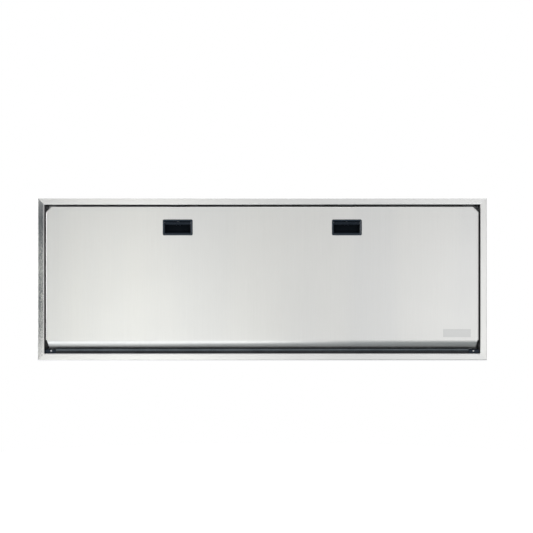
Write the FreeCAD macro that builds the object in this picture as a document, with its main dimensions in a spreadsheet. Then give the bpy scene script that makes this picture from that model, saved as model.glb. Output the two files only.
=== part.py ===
# Recessed adult changing table: a steel wall box with a trim frame and a fold-down bed on a long hinge.
# X runs along the bed, Y into the wall, Z up. The origin is the centre of the bolt holes, on the rear face.
import FreeCAD, Part
import Sketcher
import math
import os
import re

V = FreeCAD.Vector

# Driving dimensions in millimetres, kept in the spreadsheet.
DIMENSIONS = {
    # wall box and trim frame
    "overall_width": 1830,
    "overall_height": 660,
    "flange_width": 27,
    "frame_depth": 12,
    "frame_sheet": 1.5,
    "frame_bend": 2.5,
    "frame_inner_bend": 4,
    "recess_depth": 102,
    "box_sheet": 2,
    "bolt_column_inner": 406.4,
    "bolt_column_outer": 1219.2,
    "bolt_row": 400,
    "bolt_hole_radius": 4.5,
    # shared clearances
    "cut_past": 1,
    "screw_play": 0.1,
    "fixed_fit": 0.02,
    # door skin, the steel underside of the bed
    "door_proud": 2,
    "door_side_gap": 6,
    "door_top_gap": 8,
    "skin_sheet": 1.5,
    "skin_return": 18,
    "skin_bend": 5,
    "corner_clip": 21,
    "corner_soften": 7,
    "roll_radius": 35.5,
    "roll_taper": 14,
    "roll_return": 24,
    # hinge along the bottom edge
    "hinge_setback": 14,
    "hinge_floor_gap": 14.5,
    "knuckle_radius": 5,
    "hinge_pin_radius": 2.5,
    "hinge_pin_play": 0.05,
    "leaf_thick": 2.5,
    "leaf_deep": 44,
    "leaf_end_gap": 40,
    "knuckle_count": 29,
    "knuckle_gap": 0.6,
    "hinge_rail_deep": 46,
    "leaf_screw_count": 12,
    "leaf_screw_radius": 2.5,
    "leaf_screw_head": 4.5,
    "leaf_screw_head_high": 1.8,
    "leaf_screw_back": 12,
    "rail_screw_floor": 2,
    "tube_screw_past": 1,
    # welded tube frame inside the bed
    "rail_deep": 40,
    "rail_wide": 30,
    "tube_wall": 2,
    "rail_top_gap": 5,
    "rail_roll_gap": 2,
    "side_pocket": 37,
    "rib_spacing": 560,
    # moulded bed surface
    "liner_edge_gap": 2,
    "liner_height": 34,
    "liner_base": 10,
    "liner_rim": 42,
    "liner_corner": 60,
    "liner_round": 10,
    # flush pull and slam latch
    "latch_spacing": 689,
    "latch_drop": 84,
    "cup_wide": 122,
    "cup_tall": 65,
    "cup_lip": 5,
    "cup_lip_thick": 2,
    "cup_fit": 0.4,
    "cup_wall": 2.5,
    "cup_depth": 40,
    "cup_corner": 6,
    "cup_slope": 10,
    "cup_bevel": 3,
    "cup_inner_round": 4,
    "paddle_drop": 7.5,
    "paddle_thick": 4,
    "paddle_edge_round": 1.8,
    "paddle_side_gap": 1,
    "paddle_pin_radius": 2,
    "paddle_pin_play": 0.05,
    "paddle_pin_setback": 7,
    "paddle_pin_below_top": 8,
    "paddle_reach": 24,
    "prong_fall": 7,
    "prong_wide": 4,
    "bolt_radius": 5,
    "bolt_play": 0.5,
    "bolt_setback": 26,
    "bolt_tip_below": 0.5,
    "bolt_tip_round": 2.5,
    "bolt_collar_radius": 9,
    "bolt_collar_thick": 3,
    "collar_slack": 0.4,
    "clip_thick": 2.5,
    "clip_lift": 3,
    "spring_wire": 0.8,
    "spring_wire_sides": 10,
    "spring_turns": 4,
    "spring_end_gap": 0.1,
    "strike_wide": 64,
    "strike_deep": 30,
    "strike_thick": 6,
    "strike_slot_play": 3,
    "strike_screw_spacing": 44,
    "strike_screw_radius": 2.5,
    "strike_head_radius": 4.8,
    "strike_head_high": 1.2,
    # gas struts in the end pockets
    "strut_top_setback": 31,
    "strut_top_drop": 47.5,
    "strut_foot_setback": 6,
    "strut_foot_up": 64,
    "strut_side_gap": 20,
    "strut_eye_radius": 9,
    "strut_eye_wide": 12,
    "strut_pin_radius": 4,
    "strut_pin_play": 0.06,
    "strut_pin_gap": 1.5,
    "strut_neck_radius": 5.5,
    "strut_neck_long": 6,
    "cylinder_radius": 11,
    "cylinder_bore": 8.5,
    "cylinder_length": 330,
    "cylinder_cap": 12,
    "rod_radius": 4,
    "rod_play": 0.1,
    "piston_length": 12,
    "rod_inside": 95,
    "slot_long": 31,
    "slot_wide": 20.5,
    "slot_lift": 5,
    "slot_round": 4,
    "bracket_round": 6,
    "bracket_wall": 6,
    "bracket_foot": 30,
    "bracket_thick": 10,
    "anchor_plate": 34,
    "anchor_thick": 4,
    "anchor_back_trim": 6,
    "anchor_stud_past": 4,
    "anchor_cap_radius": 6.5,
    "anchor_cap_thick": 3,
    # safety straps
    "strap_offset": 420,
    "strap_wide": 50,
    "strap_thick": 2,
    "strap_lift": 0.3,
    "strap_end_gap": 18,
    "buckle_wide": 66,
    "buckle_tall": 46,
    "buckle_thick": 13,
    "buckle_round": 3,
    "buckle_side": 7,
    "buckle_skin": 3,
    "throat_past": 2,
    "tongue_tall": 30,
    "tongue_thick": 9,
    "tongue_inset": 2,
    "tongue_prong_from": 12,
    "tongue_prong_wide": 8,
    "tongue_prong_long": 22,
    "buckle_play": 0.5,
    "strap_anchor_wide": 84,
    "strap_anchor_tall": 28,
    "strap_anchor_thick": 6,
    "strap_anchor_bridge": 2.6,
    "strap_anchor_round": 4,
    "strap_side_play": 1,
    "strap_screw_radius": 2,
    "strap_screw_head": 4.2,
    "strap_screw_head_high": 2,
    "strap_screw_long": 7,
    "strap_screw_tip_gap": 1,
    # rubber bumpers behind the bed
    "bumper_radius": 12,
    "bumper_tip_radius": 8,
    "bumper_gap": 0.3,
    "bumper_height": 190,
}

# Places worked out from the driving dimensions, written as spreadsheet expressions.
OPEN_X = "(overall_width / 2 - flange_width)"
OPEN_Z = "(overall_height / 2 - flange_width)"
WALL_Y = "(-recess_depth)"
FRAME_Y = "(-recess_depth - frame_depth)"
SKIN_Y = "(-recess_depth - frame_depth - door_proud)"
SKIN_IN = f"({SKIN_Y} + skin_sheet)"
SKIN_X = f"({OPEN_X} - door_side_gap)"
SKIN_TOP = f"({OPEN_Z} - door_top_gap)"
AXIS_Y = f"({SKIN_Y} + hinge_setback)"
AXIS_Z = f"(hinge_floor_gap - {OPEN_Z})"
SKIN_BOTTOM = f"({AXIS_Z} + knuckle_radius)"
ROLL_END_Y = f"({SKIN_Y} + roll_radius)"
ROLL_TOP_Z = f"({SKIN_BOTTOM} + roll_radius)"
RAIL_X = f"({SKIN_X} - side_pocket)"
RAIL_BACK = f"({SKIN_IN} + rail_deep)"
RAIL_TOP = f"({SKIN_TOP} - rail_top_gap)"
RAIL_BOTTOM = f"({ROLL_TOP_Z} + rail_roll_gap)"
LINER_X = f"({RAIL_X} - liner_edge_gap)"
LINER_LOW = f"({RAIL_BOTTOM} + liner_edge_gap)"
LINER_HIGH = RAIL_TOP
LINER_FLOOR = f"({RAIL_BACK} + liner_base)"
LINER_BACK = f"({RAIL_BACK} + liner_height)"
LEAF_X = f"({SKIN_X} - leaf_end_gap)"
LATCH_Z = f"({SKIN_TOP} - latch_drop)"
CUP_BODY_X = "(cup_wide / 2 - cup_lip - cup_fit)"
CUP_BODY_Z = "(cup_tall / 2 - cup_lip - cup_fit)"
CUP_BACK = f"({SKIN_Y} + cup_depth)"
PADDLE_Y = f"({SKIN_Y} + paddle_pin_setback)"
PADDLE_Z = f"({LATCH_Z} + {CUP_BODY_Z} - paddle_pin_below_top)"
BOLT_Y = f"({SKIN_Y} + bolt_setback)"
BOLT_TOP = f"({SKIN_TOP} - bolt_tip_below)"
COLLAR_LOW = f"({PADDLE_Z} - prong_fall + collar_slack)"
CUP_ROOF = f"({LATCH_Z} + {CUP_BODY_Z})"
CLIP_LOW = f"({CUP_ROOF} + clip_lift)"
STRIKE_LOW = f"({OPEN_Z} - strike_thick)"
STRUT_X = f"({OPEN_X} - strut_side_gap)"
STRUT_TOP_Y = "(-strut_top_setback)"
STRUT_TOP_Z = f"({OPEN_Z} - strut_top_drop)"
STRUT_FOOT_Y = f"({AXIS_Y} + strut_foot_setback)"
STRUT_FOOT_Z = f"({AXIS_Z} + strut_foot_up)"
STRAP_BACK = f"({LINER_FLOOR} + strap_lift + strap_thick)"

doc = FreeCAD.newDocument("changing_table")
sheet = doc.addObject("Spreadsheet::Sheet", "dims")
for line, (name, amount) in enumerate(DIMENSIONS.items(), start=1):
    sheet.set(f"A{line}", name)
    sheet.set(f"B{line}", str(amount))
    sheet.setAlias(f"B{line}", name)
doc.recompute()

nodes = []


def bound(text):
    """The expression with each dimension named as a cell of the sheet."""
    return re.sub(r"[a-z_]{3,}\w*", lambda m: f"dims.{m[0]}" if m[0] in DIMENSIONS else m[0], text)


def size(text):
    """The present value of an expression."""
    return float(sheet.evalExpression(bound(text)))


def node(shape, label):
    """Marks an object as a finished sub-part under the name of its file."""
    shape.Label = label
    nodes.append(shape)
    return shape


def box(name, x, y, z):
    """A block between three pairs of expressions."""
    made = doc.addObject("Part::Box", name)
    for side, corner, (low, high) in (("Length", "x", x), ("Width", "y", y), ("Height", "z", z)):
        made.setExpression(side, bound(f"({high}) - ({low})"))
        made.setExpression(f"Placement.Base.{corner}", bound(low))
    return made


TURNS = {
    "x": FreeCAD.Rotation(V(0, 1, 0), 90),
    "y": FreeCAD.Rotation(V(1, 0, 0), -90),
    "z": FreeCAD.Rotation(),
}


def rod(name, axis, radius, low, high, first, second):
    """A round bar along an axis; first and second are its other two coordinates, in X, Y, Z order."""
    made = doc.addObject("Part::Cylinder", name)
    made.Placement = FreeCAD.Placement(V(), TURNS[axis])
    made.setExpression("Radius", bound(radius))
    made.setExpression("Height", bound(f"({high}) - ({low})"))
    others = iter((first, second))
    for corner in "xyz":
        place = low if corner == axis else next(others)
        made.setExpression(f"Placement.Base.{corner}", bound(place))
    return made


def fuse(name, pieces):
    made = doc.addObject("Part::MultiFuse", name)
    made.Shapes = pieces
    made.Refine = True
    return made


def group(name, pieces):
    made = doc.addObject("Part::Compound", name)
    made.Links = pieces
    return made


def cut(name, base, tools):
    made = doc.addObject("Part::Cut", name)
    made.Base = base
    made.Tool = tools[0] if len(tools) == 1 else group(f"{name}_tools", tools)
    return made


def rounded(name, base, radius, wanted):
    """A fillet on the edges of base that the test picks."""
    doc.recompute()
    made = doc.addObject("Part::Fillet", name)
    made.Base = base
    reach = size(radius)
    made.Edges = [(i, reach, reach) for i, e in enumerate(base.Shape.Edges, start=1) if wanted(e)]
    return made


def plane_of(body, role):
    return next(f for f in body.Origin.OriginFeatures if f.Role == role)


def sketch(body, name, role, outline, offset="0"):
    """A closed outline of straight lines, each corner held by two bound distances from the origin."""
    made = body.newObject("Sketcher::SketchObject", name)
    made.AttachmentSupport = [(plane_of(body, role), "")]
    made.MapMode = "FlatFace"
    made.setExpression("AttachmentOffset.Base.z", bound(offset))
    corners = [(size(a), size(b)) for a, b in outline]
    count = len(corners)
    for i, corner in enumerate(corners):
        made.addGeometry(Part.LineSegment(V(*corner, 0), V(*corners[(i + 1) % count], 0)))
    for i in range(count):
        made.addConstraint(Sketcher.Constraint("Coincident", i, 2, (i + 1) % count, 1))
    for i, corner in enumerate(corners):
        for k, kind in enumerate(("DistanceX", "DistanceY")):
            place = made.addConstraint(Sketcher.Constraint(kind, -1, 1, i, 1, corner[k]))
            made.setExpression(f"Constraints[{place}]", bound(outline[i][k]))
    doc.recompute()
    return made


def pad(body, name, profile, length, side="Symmetric"):
    made = body.newObject("PartDesign::Pad", name)
    made.Profile = profile
    made.setExpression("Length", bound(length))
    made.SideType = side
    doc.recompute()
    return made


def pocket(body, name, profile):
    """A cut right through the body, to both sides of the sketch."""
    before = body.Shape.Volume
    made = body.newObject("PartDesign::Pocket", name)
    made.Profile = profile
    made.Type = "ThroughAll"
    made.SideType = "Symmetric"
    doc.recompute()
    if not made.Shape.Volume < before - 1:
        raise RuntimeError(f"{name} cuts nothing")
    return made


def body_fillet(body, name, radius, wanted):
    base = body.Tip
    made = body.newObject("PartDesign::Fillet", name)
    made.Base = (base, [f"Edge{i}" for i, e in enumerate(base.Shape.Edges, start=1) if wanted(e)])
    made.setExpression("Radius", bound(radius))
    doc.recompute()
    return made


def prism(name, x, outline):
    """A bar along X with a straight-sided section of Y and Z."""
    body = doc.addObject("PartDesign::Body", name)
    profile = sketch(body, f"{name}_section", "YZ_Plane", outline, x[0])
    pad(body, f"{name}_pad", profile, f"({x[1]}) - ({x[0]})", "One side")
    return body


def along(edge, axis):
    """True for a straight edge that runs along X, Y or Z."""
    if edge.Curve.TypeId != "Part::GeomLine":
        return False
    return abs(abs(getattr(edge.Curve.Direction, axis)) - 1) < 1e-6


def at(edge, **places):
    """True if the middle of the edge has these coordinates."""
    middle = edge.CenterOfMass
    return all(abs(getattr(middle, axis) - place) < 0.01 for axis, place in places.items())


def wall_box():
    """Five welded sheet panels; the rear one has the eight bolt holes."""
    outer_x = f"({OPEN_X} + box_sheet)"
    outer_z = f"({OPEN_Z} + box_sheet)"
    deep = (WALL_Y, "-box_sheet")
    rear = box("rear_sheet", (f"-{outer_x}", outer_x), ("-box_sheet", "0"), (f"-{outer_z}", outer_z))
    holes = []
    for column in ("bolt_column_inner", "bolt_column_outer"):
        for x in (f"-{column} / 2", f"{column} / 2"):
            for z in ("-bolt_row / 2", "bolt_row / 2"):
                name = f"bolt_hole_{len(holes)}"
                holes.append(rod(name, "y", "bolt_hole_radius", "-box_sheet - cut_past", "cut_past", x, z))
    node(cut("rear_drilled", rear, holes), "cabinet_back_panel")
    wide = (f"-{outer_x}", outer_x)
    node(box("roof_sheet", wide, deep, (OPEN_Z, outer_z)), "cabinet_top_panel")
    node(box("floor_sheet", wide, deep, (f"-{outer_z}", f"-{OPEN_Z}")), "cabinet_bottom_panel")
    tall = (f"-{OPEN_Z}", OPEN_Z)
    node(box("left_sheet", (f"-{outer_x}", f"-{OPEN_X}"), deep, tall), "cabinet_left_wall")
    node(box("right_sheet", (OPEN_X, outer_x), deep, tall), "cabinet_right_wall")


def frame_bar(label, sign, upright):
    """One mitred bar of the trim frame, a channel of folded sheet open towards the wall."""
    outer, inner, reach = (
        ("overall_width / 2", OPEN_X, "overall_height")
        if upright
        else ("overall_height / 2", OPEN_Z, "overall_width")
    )
    body = doc.addObject("PartDesign::Body", f"{label}_body")
    channel = [
        (WALL_Y, outer),
        (FRAME_Y, outer),
        (FRAME_Y, inner),
        (WALL_Y, inner),
        (WALL_Y, f"{inner} + frame_sheet"),
        (f"{FRAME_Y} + frame_sheet", f"{inner} + frame_sheet"),
        (f"{FRAME_Y} + frame_sheet", f"{outer} - frame_sheet"),
        (WALL_Y, f"{outer} - frame_sheet"),
    ]
    if upright:
        outline = [(f"{sign}({across})", deep) for deep, across in channel]
        profile = sketch(body, f"{label}_channel", "XY_Plane", outline)
    else:
        outline = [(deep, f"{sign}({across})") for deep, across in channel]
        profile = sketch(body, f"{label}_channel", "YZ_Plane", outline)
    pad(body, f"{label}_pad", profile, reach)
    for end in ("-1 * ", "1 * "):
        beyond = f"{end}({reach} / 2 + flange_width)"
        mitre = [
            (f"{sign}({inner} - flange_width)", f"{end}({reach} / 2 - 2 * flange_width)"),
            (f"{sign}({outer} + flange_width)", beyond),
            (f"{sign}({inner} - flange_width)", beyond),
        ]
        if not upright:
            mitre = [(z, x) for x, z in mitre]
        side = "low" if end.startswith("-") else "high"
        pocket(body, f"{label}_mitre_{side}", sketch(body, f"{label}_mitre_line_{side}", "XZ_Plane", mitre))
    run, across = ("z", "x") if upright else ("x", "z")
    front = size(FRAME_Y)
    for name, edge, radius in (("outer", outer, "frame_bend"), ("inner", inner, "frame_inner_bend")):
        side = size(f"{sign}({edge})")
        body_fillet(
            body,
            f"{label}_{name}_bend",
            radius,
            lambda e: along(e, run) and at(e, y=front, **{across: side}),
        )
    node(body, label)


def door_skin():
    """The folded steel skin: a shallow pan with clipped top corners and a rolled bottom edge."""
    body = doc.addObject("PartDesign::Body", "skin_body")
    back = f"({SKIN_Y} + skin_return)"
    pan_outline = pan_corners("0", ROLL_TOP_Z)
    slab = sketch(body, "pan_outline", "XZ_Plane", pan_outline, f"-{back}")
    pad(body, "pan_slab", slab, "skin_return", "One side")
    front, inside, low = size(SKIN_Y), size(SKIN_IN), size(ROLL_TOP_Z)
    body_fillet(body, "pan_corners", "corner_soften", lambda e: along(e, "y") and not at(e, z=low))
    hollow = body.newObject("PartDesign::Pocket", "pan_hollow")
    hollow_outline = pan_corners("skin_sheet", f"{ROLL_TOP_Z} - skin_bend")
    hollow.Profile = sketch(body, "pan_hollow_outline", "XZ_Plane", hollow_outline, f"-{back}")
    hollow.setExpression("Length", bound("skin_return - skin_sheet"))
    hollow.Reversed = True
    doc.recompute()
    hollow_middle = (inside + size(back)) / 2
    body_fillet(
        body,
        "pan_corners_inside",
        "corner_soften - skin_sheet",
        lambda e: along(e, "y") and at(e, y=hollow_middle) and not at(e, z=low),
    )
    body_fillet(
        body,
        "pan_bends_inside",
        "skin_bend - skin_sheet",
        lambda e: flat_at(e, inside) and not at(e, z=low),
    )
    body_fillet(body, "pan_bends", "skin_bend", lambda e: flat_at(e, front) and not at(e, z=low))
    heel = f"({ROLL_END_Y} + roll_return)"
    floor = f"({SKIN_BOTTOM} + skin_sheet)"
    section = [
        (SKIN_Y, ROLL_TOP_Z),
        (SKIN_Y, SKIN_BOTTOM),
        (heel, SKIN_BOTTOM),
        (heel, floor),
        (SKIN_IN, floor),
        (SKIN_IN, ROLL_TOP_Z),
    ]
    roll_x = f"({SKIN_X} - skin_bend)"
    pad(body, "roll_sheet", sketch(body, "roll_section", "YZ_Plane", section), f"2 * {roll_x}")
    edge_low, edge_floor = size(SKIN_BOTTOM), size(floor)
    body_fillet(body, "roll_outside", "roll_radius", lambda e: along(e, "x") and at(e, y=front, z=edge_low))
    body_fillet(
        body,
        "roll_inside",
        "roll_radius - skin_sheet",
        lambda e: along(e, "x") and at(e, y=inside, z=edge_floor),
    )
    for side, sign in (("left", "-1 * "), ("right", "1 * ")):
        taper = [
            (f"{sign}{roll_x}", ROLL_TOP_Z),
            (f"{sign}({SKIN_X} + roll_taper)", ROLL_TOP_Z),
            (f"{sign}({SKIN_X} + roll_taper)", f"{SKIN_BOTTOM} - skin_sheet"),
            (f"{sign}({SKIN_X} - roll_taper)", f"{SKIN_BOTTOM} - skin_sheet"),
            (f"{sign}({SKIN_X} - roll_taper)", SKIN_BOTTOM),
        ]
        pocket(body, f"{side}_taper", sketch(body, f"{side}_taper_line", "XZ_Plane", taper))
        centre = f"{sign}latch_spacing / 2"
        half_x, half_z = "(cup_wide / 2 - cup_lip)", "(cup_tall / 2 - cup_lip)"
        window = [
            (f"{centre} - {half_x}", f"{LATCH_Z} - {half_z}"),
            (f"{centre} + {half_x}", f"{LATCH_Z} - {half_z}"),
            (f"{centre} + {half_x}", f"{LATCH_Z} + {half_z}"),
            (f"{centre} - {half_x}", f"{LATCH_Z} + {half_z}"),
        ]
        pocket(body, f"{side}_window", sketch(body, f"{side}_window_line", "XZ_Plane", window))
    holes = leaf_screw_holes("skin_holes", f"{SKIN_BOTTOM} - cut_past", f"{floor} + cut_past")
    node(cut("skin_drilled", body, holes), "door_skin")


def pan_corners(inset, low):
    """The outline of the skin's pan, drawn in by inset except at the bottom, which is given."""
    side, top = f"({SKIN_X} - {inset})", f"({SKIN_TOP} - {inset})"
    clip = f"(corner_clip - {inset} * {2 - math.sqrt(2):.6f})"
    half = [(side, low), (side, f"{top} - {clip}"), (f"{side} - {clip}", top)]
    return half + [(f"-({x})", z) for x, z in reversed(half)]


def leaf_screw_places():
    """X of each hinge screw, evenly spaced along the leaf."""
    count = int(size("leaf_screw_count"))
    return [f"({LEAF_X} * (2 * {i} + 1 - {count}) / {count})" for i in range(count)]


LEAF_SCREW_Y = f"({AXIS_Y} + leaf_deep - leaf_screw_back)"


def leaf_screw_holes(name, low, high):
    return [
        rod(f"{name}_{i}", "z", "leaf_screw_radius", low, high, x, LEAF_SCREW_Y)
        for i, x in enumerate(leaf_screw_places())
    ]


def hinge_leaf(label, first, leaf_low):
    """A leaf with every other knuckle; the gaps between them take the knuckles of the other leaf."""
    count = int(size("knuckle_count"))
    pitch = f"(2 * {LEAF_X} / {count})"
    past_knuckle = "(knuckle_radius + cut_past)"
    back = f"{AXIS_Y} + leaf_deep"
    leaf_high = f"({leaf_low} + leaf_thick)"
    plate = box(f"{label}_plate", (f"-{LEAF_X}", LEAF_X), (AXIS_Y, back), (leaf_low, leaf_high))
    kept, gaps = [plate], []
    for i in range(count):
        start = f"({pitch} * {i} - {LEAF_X})"
        if i % 2 == first:
            kept.append(
                rod(
                    f"{label}_knuckle_{i}",
                    "x",
                    "knuckle_radius",
                    f"{start} + knuckle_gap / 2",
                    f"{start} + {pitch} - knuckle_gap / 2",
                    AXIS_Y,
                    AXIS_Z,
                )
            )
        else:
            gaps.append(
                box(
                    f"{label}_gap_{i}",
                    (f"{start} - knuckle_gap / 2", f"{start} + {pitch} + knuckle_gap / 2"),
                    (f"{AXIS_Y} - {past_knuckle}", f"{AXIS_Y} + {past_knuckle}"),
                    (f"{AXIS_Z} - {past_knuckle}", f"{AXIS_Z} + {past_knuckle}"),
                )
            )
    bore = rod(
        f"{label}_bore",
        "x",
        "hinge_pin_radius + hinge_pin_play",
        f"-{LEAF_X} - cut_past",
        f"{LEAF_X} + cut_past",
        AXIS_Y,
        AXIS_Z,
    )
    holes = leaf_screw_holes(f"{label}_hole", f"{leaf_low} - cut_past", f"{leaf_high} + cut_past")
    node(cut(f"{label}_cut", fuse(f"{label}_whole", kept), [bore, *gaps, *holes]), label)


def hinge_screws(label, head_face, tip, heads_up):
    """Pan-head screws through a leaf, head_face being the face of the leaf that they bear on."""
    screws = []
    for i, x in enumerate(leaf_screw_places()):
        crown = f"{head_face} + leaf_screw_head_high" if heads_up else f"{head_face} - leaf_screw_head_high"
        head_span = (head_face, crown) if heads_up else (crown, head_face)
        shank_span = (tip, head_face) if heads_up else (head_face, tip)
        head = rod(f"{label}_head_{i}", "z", "leaf_screw_head", *head_span, x, LEAF_SCREW_Y)
        shank = rod(f"{label}_shank_{i}", "z", "leaf_screw_radius - screw_play", *shank_span, x, LEAF_SCREW_Y)
        screws.append(fuse(f"{label}_{i}", [head, shank]))
    node(group(f"{label}_set", screws), label)


def hinge():
    """Rail on the cabinet floor, two leaves that face each other when shut, and one long pin."""
    fixed_low = f"({AXIS_Z} - knuckle_radius)"
    moving_low = f"({SKIN_BOTTOM} - leaf_thick)"
    back = f"{AXIS_Y} + hinge_rail_deep"
    rail = box("rail_bar", (f"-{LEAF_X}", LEAF_X), (AXIS_Y, back), (f"-{OPEN_Z}", fixed_low))
    screw_tip = f"rail_screw_floor - {OPEN_Z}"
    holes = leaf_screw_holes("rail_hole", f"{screw_tip} - screw_play", f"{fixed_low} + cut_past")
    node(cut("rail_drilled", rail, holes), "hinge_rail")
    hinge_leaf("hinge_fixed_leaf", 0, fixed_low)
    hinge_leaf("hinge_moving_leaf", 1, moving_low)
    node(rod("pin_bar", "x", "hinge_pin_radius", f"-{LEAF_X}", LEAF_X, AXIS_Y, AXIS_Z), "hinge_pin")
    hinge_screws("hinge_fixed_screws", f"{fixed_low} + leaf_thick", screw_tip, True)
    tube_inside = f"{SKIN_BOTTOM} + skin_sheet + tube_wall + tube_screw_past"
    hinge_screws("hinge_moving_screws", moving_low, tube_inside, False)


def tube(name, x, y, z, run):
    """A rectangular tube between three pairs, open along run."""
    inner = [(f"{low} + tube_wall", f"{high} - tube_wall") for low, high in (x, y, z)]
    k = "xyz".index(run)
    low, high = (x, y, z)[k]
    inner[k] = (f"{low} - cut_past", f"{high} + cut_past")
    return cut(name, box(f"{name}_outside", x, y, z), [box(f"{name}_inside", *inner)])


def bed_frame():
    """Welded tube frame between the skin and the moulded surface."""
    deep = (SKIN_IN, RAIL_BACK)
    wide = (f"-{RAIL_X}", RAIL_X)
    top_low = f"({RAIL_TOP} - rail_wide)"
    bottom_high = f"({RAIL_BOTTOM} + rail_wide)"
    top = tube("top_tube", wide, deep, (top_low, RAIL_TOP), "x")
    hole_radius, through = "bolt_radius + bolt_play", (f"{top_low} - cut_past", f"{RAIL_TOP} + cut_past")
    bolt_holes = [
        rod(f"top_tube_hole_{side}", "z", hole_radius, *through, x, BOLT_Y)
        for side, x in (("left", "-latch_spacing / 2"), ("right", "latch_spacing / 2"))
    ]
    node(cut("top_tube_drilled", top, bolt_holes), "bed_top_rail")
    node(tube("bottom_tube", wide, deep, (RAIL_BOTTOM, bottom_high), "x"), "bed_bottom_rail")
    tall = (bottom_high, top_low)
    left = (f"-{RAIL_X}", f"rail_wide - {RAIL_X}")
    right = (f"{RAIL_X} - rail_wide", RAIL_X)
    node(tube("left_tube", left, deep, tall, "z"), "bed_left_rail")
    node(tube("right_tube", right, deep, tall, "z"), "bed_right_rail")
    ribs = []
    for i, centre in enumerate(("-rib_spacing", "0", "rib_spacing")):
        span = (f"{centre} - rail_wide / 2", f"{centre} + rail_wide / 2")
        ribs.append(tube(f"rib_tube_{i}", span, deep, tall, "z"))
    node(group("rib_set", ribs), "bed_ribs")
    shelf = (f"{SKIN_BOTTOM} + skin_sheet", RAIL_BOTTOM)
    low_tube = tube("hinge_tube", wide, (ROLL_END_Y, f"{ROLL_END_Y} + roll_return"), shelf, "x")
    holes = leaf_screw_holes("hinge_tube_hole", SKIN_BOTTOM, f"{shelf[0]} + tube_wall + cut_past")
    node(cut("hinge_tube_drilled", low_tube, holes), "bed_hinge_tube")


def bed_liner():
    """The moulded surface: a flat floor inside a raised, rounded rim."""
    body = doc.addObject("PartDesign::Body", "liner_body")
    rim = [
        (f"-{LINER_X}", LINER_LOW),
        (LINER_X, LINER_LOW),
        (LINER_X, LINER_HIGH),
        (f"-{LINER_X}", LINER_HIGH),
    ]
    slab = sketch(body, "liner_outline", "XZ_Plane", rim, f"-{LINER_BACK}")
    pad(body, "liner_slab", slab, "liner_height", "One side")
    well = [
        (f"liner_rim - {LINER_X}", f"{LINER_LOW} + liner_rim"),
        (f"{LINER_X} - liner_rim", f"{LINER_LOW} + liner_rim"),
        (f"{LINER_X} - liner_rim", f"{LINER_HIGH} - liner_rim"),
        (f"liner_rim - {LINER_X}", f"{LINER_HIGH} - liner_rim"),
    ]
    hollow = body.newObject("PartDesign::Pocket", "liner_well")
    hollow.Profile = sketch(body, "liner_well_line", "XZ_Plane", well, f"-{LINER_BACK}")
    hollow.setExpression("Length", bound("liner_height - liner_base"))
    hollow.Reversed = True
    doc.recompute()
    back, floor = size(LINER_BACK), size(LINER_FLOOR)
    middle = (back + floor) / 2
    body_fillet(body, "well_corners", "liner_corner", lambda e: along(e, "y") and at(e, y=middle))
    outer_middle = (size(RAIL_BACK) + back) / 2
    body_fillet(body, "rim_corners", "liner_round", lambda e: along(e, "y") and at(e, y=outer_middle))
    body_fillet(body, "rim_rounds", "liner_round", lambda e: flat_at(e, back))
    body_fillet(body, "floor_rounds", "liner_round", lambda e: flat_at(e, floor))
    depth = (f"{LINER_FLOOR} - strap_screw_long", f"{LINER_FLOOR} + cut_past")
    holes = [
        rod(f"liner_hole_{i}", "y", "strap_screw_radius", *depth, x, z)
        for i, (x, z) in enumerate(strap_screw_places())
    ]
    node(cut("liner_drilled", body, holes), "bed_liner")


def flat_at(edge, place):
    """True if the whole edge lies in the plane Y = place."""
    return edge.BoundBox.YLength < 0.01 and abs(edge.CenterOfMass.y - place) < 0.01


STRAP_LOW = f"({LINER_LOW} + liner_rim + strap_end_gap)"
STRAP_HIGH = f"({LINER_HIGH} - liner_rim - strap_end_gap)"
BUCKLE_Z = f"(({STRAP_LOW} + {STRAP_HIGH}) / 2)"


def strap_ends():
    """Middle height of the two anchors of a strap."""
    return [f"({STRAP_LOW} + strap_anchor_tall / 2)", f"({STRAP_HIGH} - strap_anchor_tall / 2)"]


def strap_screw_places():
    reach = "((strap_anchor_wide + strap_wide) / 4)"
    return [
        (f"{centre} {side} {reach}", z)
        for centre in ("-strap_offset", "strap_offset")
        for side in "-+"
        for z in strap_ends()
    ]


def straps():
    """Two webbing straps across the bed, each with two anchors and a buckle in the middle."""
    anchors, sockets, tongues = [], [], []
    lying = (f"{LINER_FLOOR} + strap_lift", STRAP_BACK)
    socket_low = f"({BUCKLE_Z} - buckle_tall)"
    for side, centre in (("left", "-strap_offset"), ("right", "strap_offset")):
        across = (f"{centre} - strap_wide / 2", f"{centre} + strap_wide / 2")
        lower = box(f"strap_lower_{side}", across, lying, (STRAP_LOW, f"{socket_low} - buckle_play"))
        upper_from = f"{BUCKLE_Z} + tongue_tall + buckle_play"
        upper = box(f"strap_upper_{side}", across, lying, (upper_from, STRAP_HIGH))
        node(group(f"strap_pair_{side}", [lower, upper]), f"strap_{side}")
        sockets.append(buckle_socket(side, centre, socket_low))
        tongues.append(buckle_tongue(side, centre))
        for end, z in zip(("low", "high"), strap_ends()):
            anchors.append(strap_anchor(f"strap_anchor_{side}_{end}", centre, z))
    node(group("anchor_set", anchors), "strap_anchors")
    node(group("socket_set", sockets), "buckle_sockets")
    node(group("tongue_set", tongues), "buckle_tongues")
    screws = []
    head_from = f"{LINER_FLOOR} + strap_anchor_thick"
    for i, (x, z) in enumerate(strap_screw_places()):
        crown = f"{head_from} + strap_screw_head_high"
        head = rod(f"anchor_head_{i}", "y", "strap_screw_head", head_from, crown, x, z)
        tip = f"{LINER_FLOOR} - strap_screw_long + strap_screw_tip_gap"
        shank = rod(f"anchor_shank_{i}", "y", "strap_screw_radius - screw_play", tip, head_from, x, z)
        screws.append(fuse(f"anchor_screw_{i}", [head, shank]))
    node(group("anchor_screw_set", screws), "strap_anchor_screws")


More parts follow.
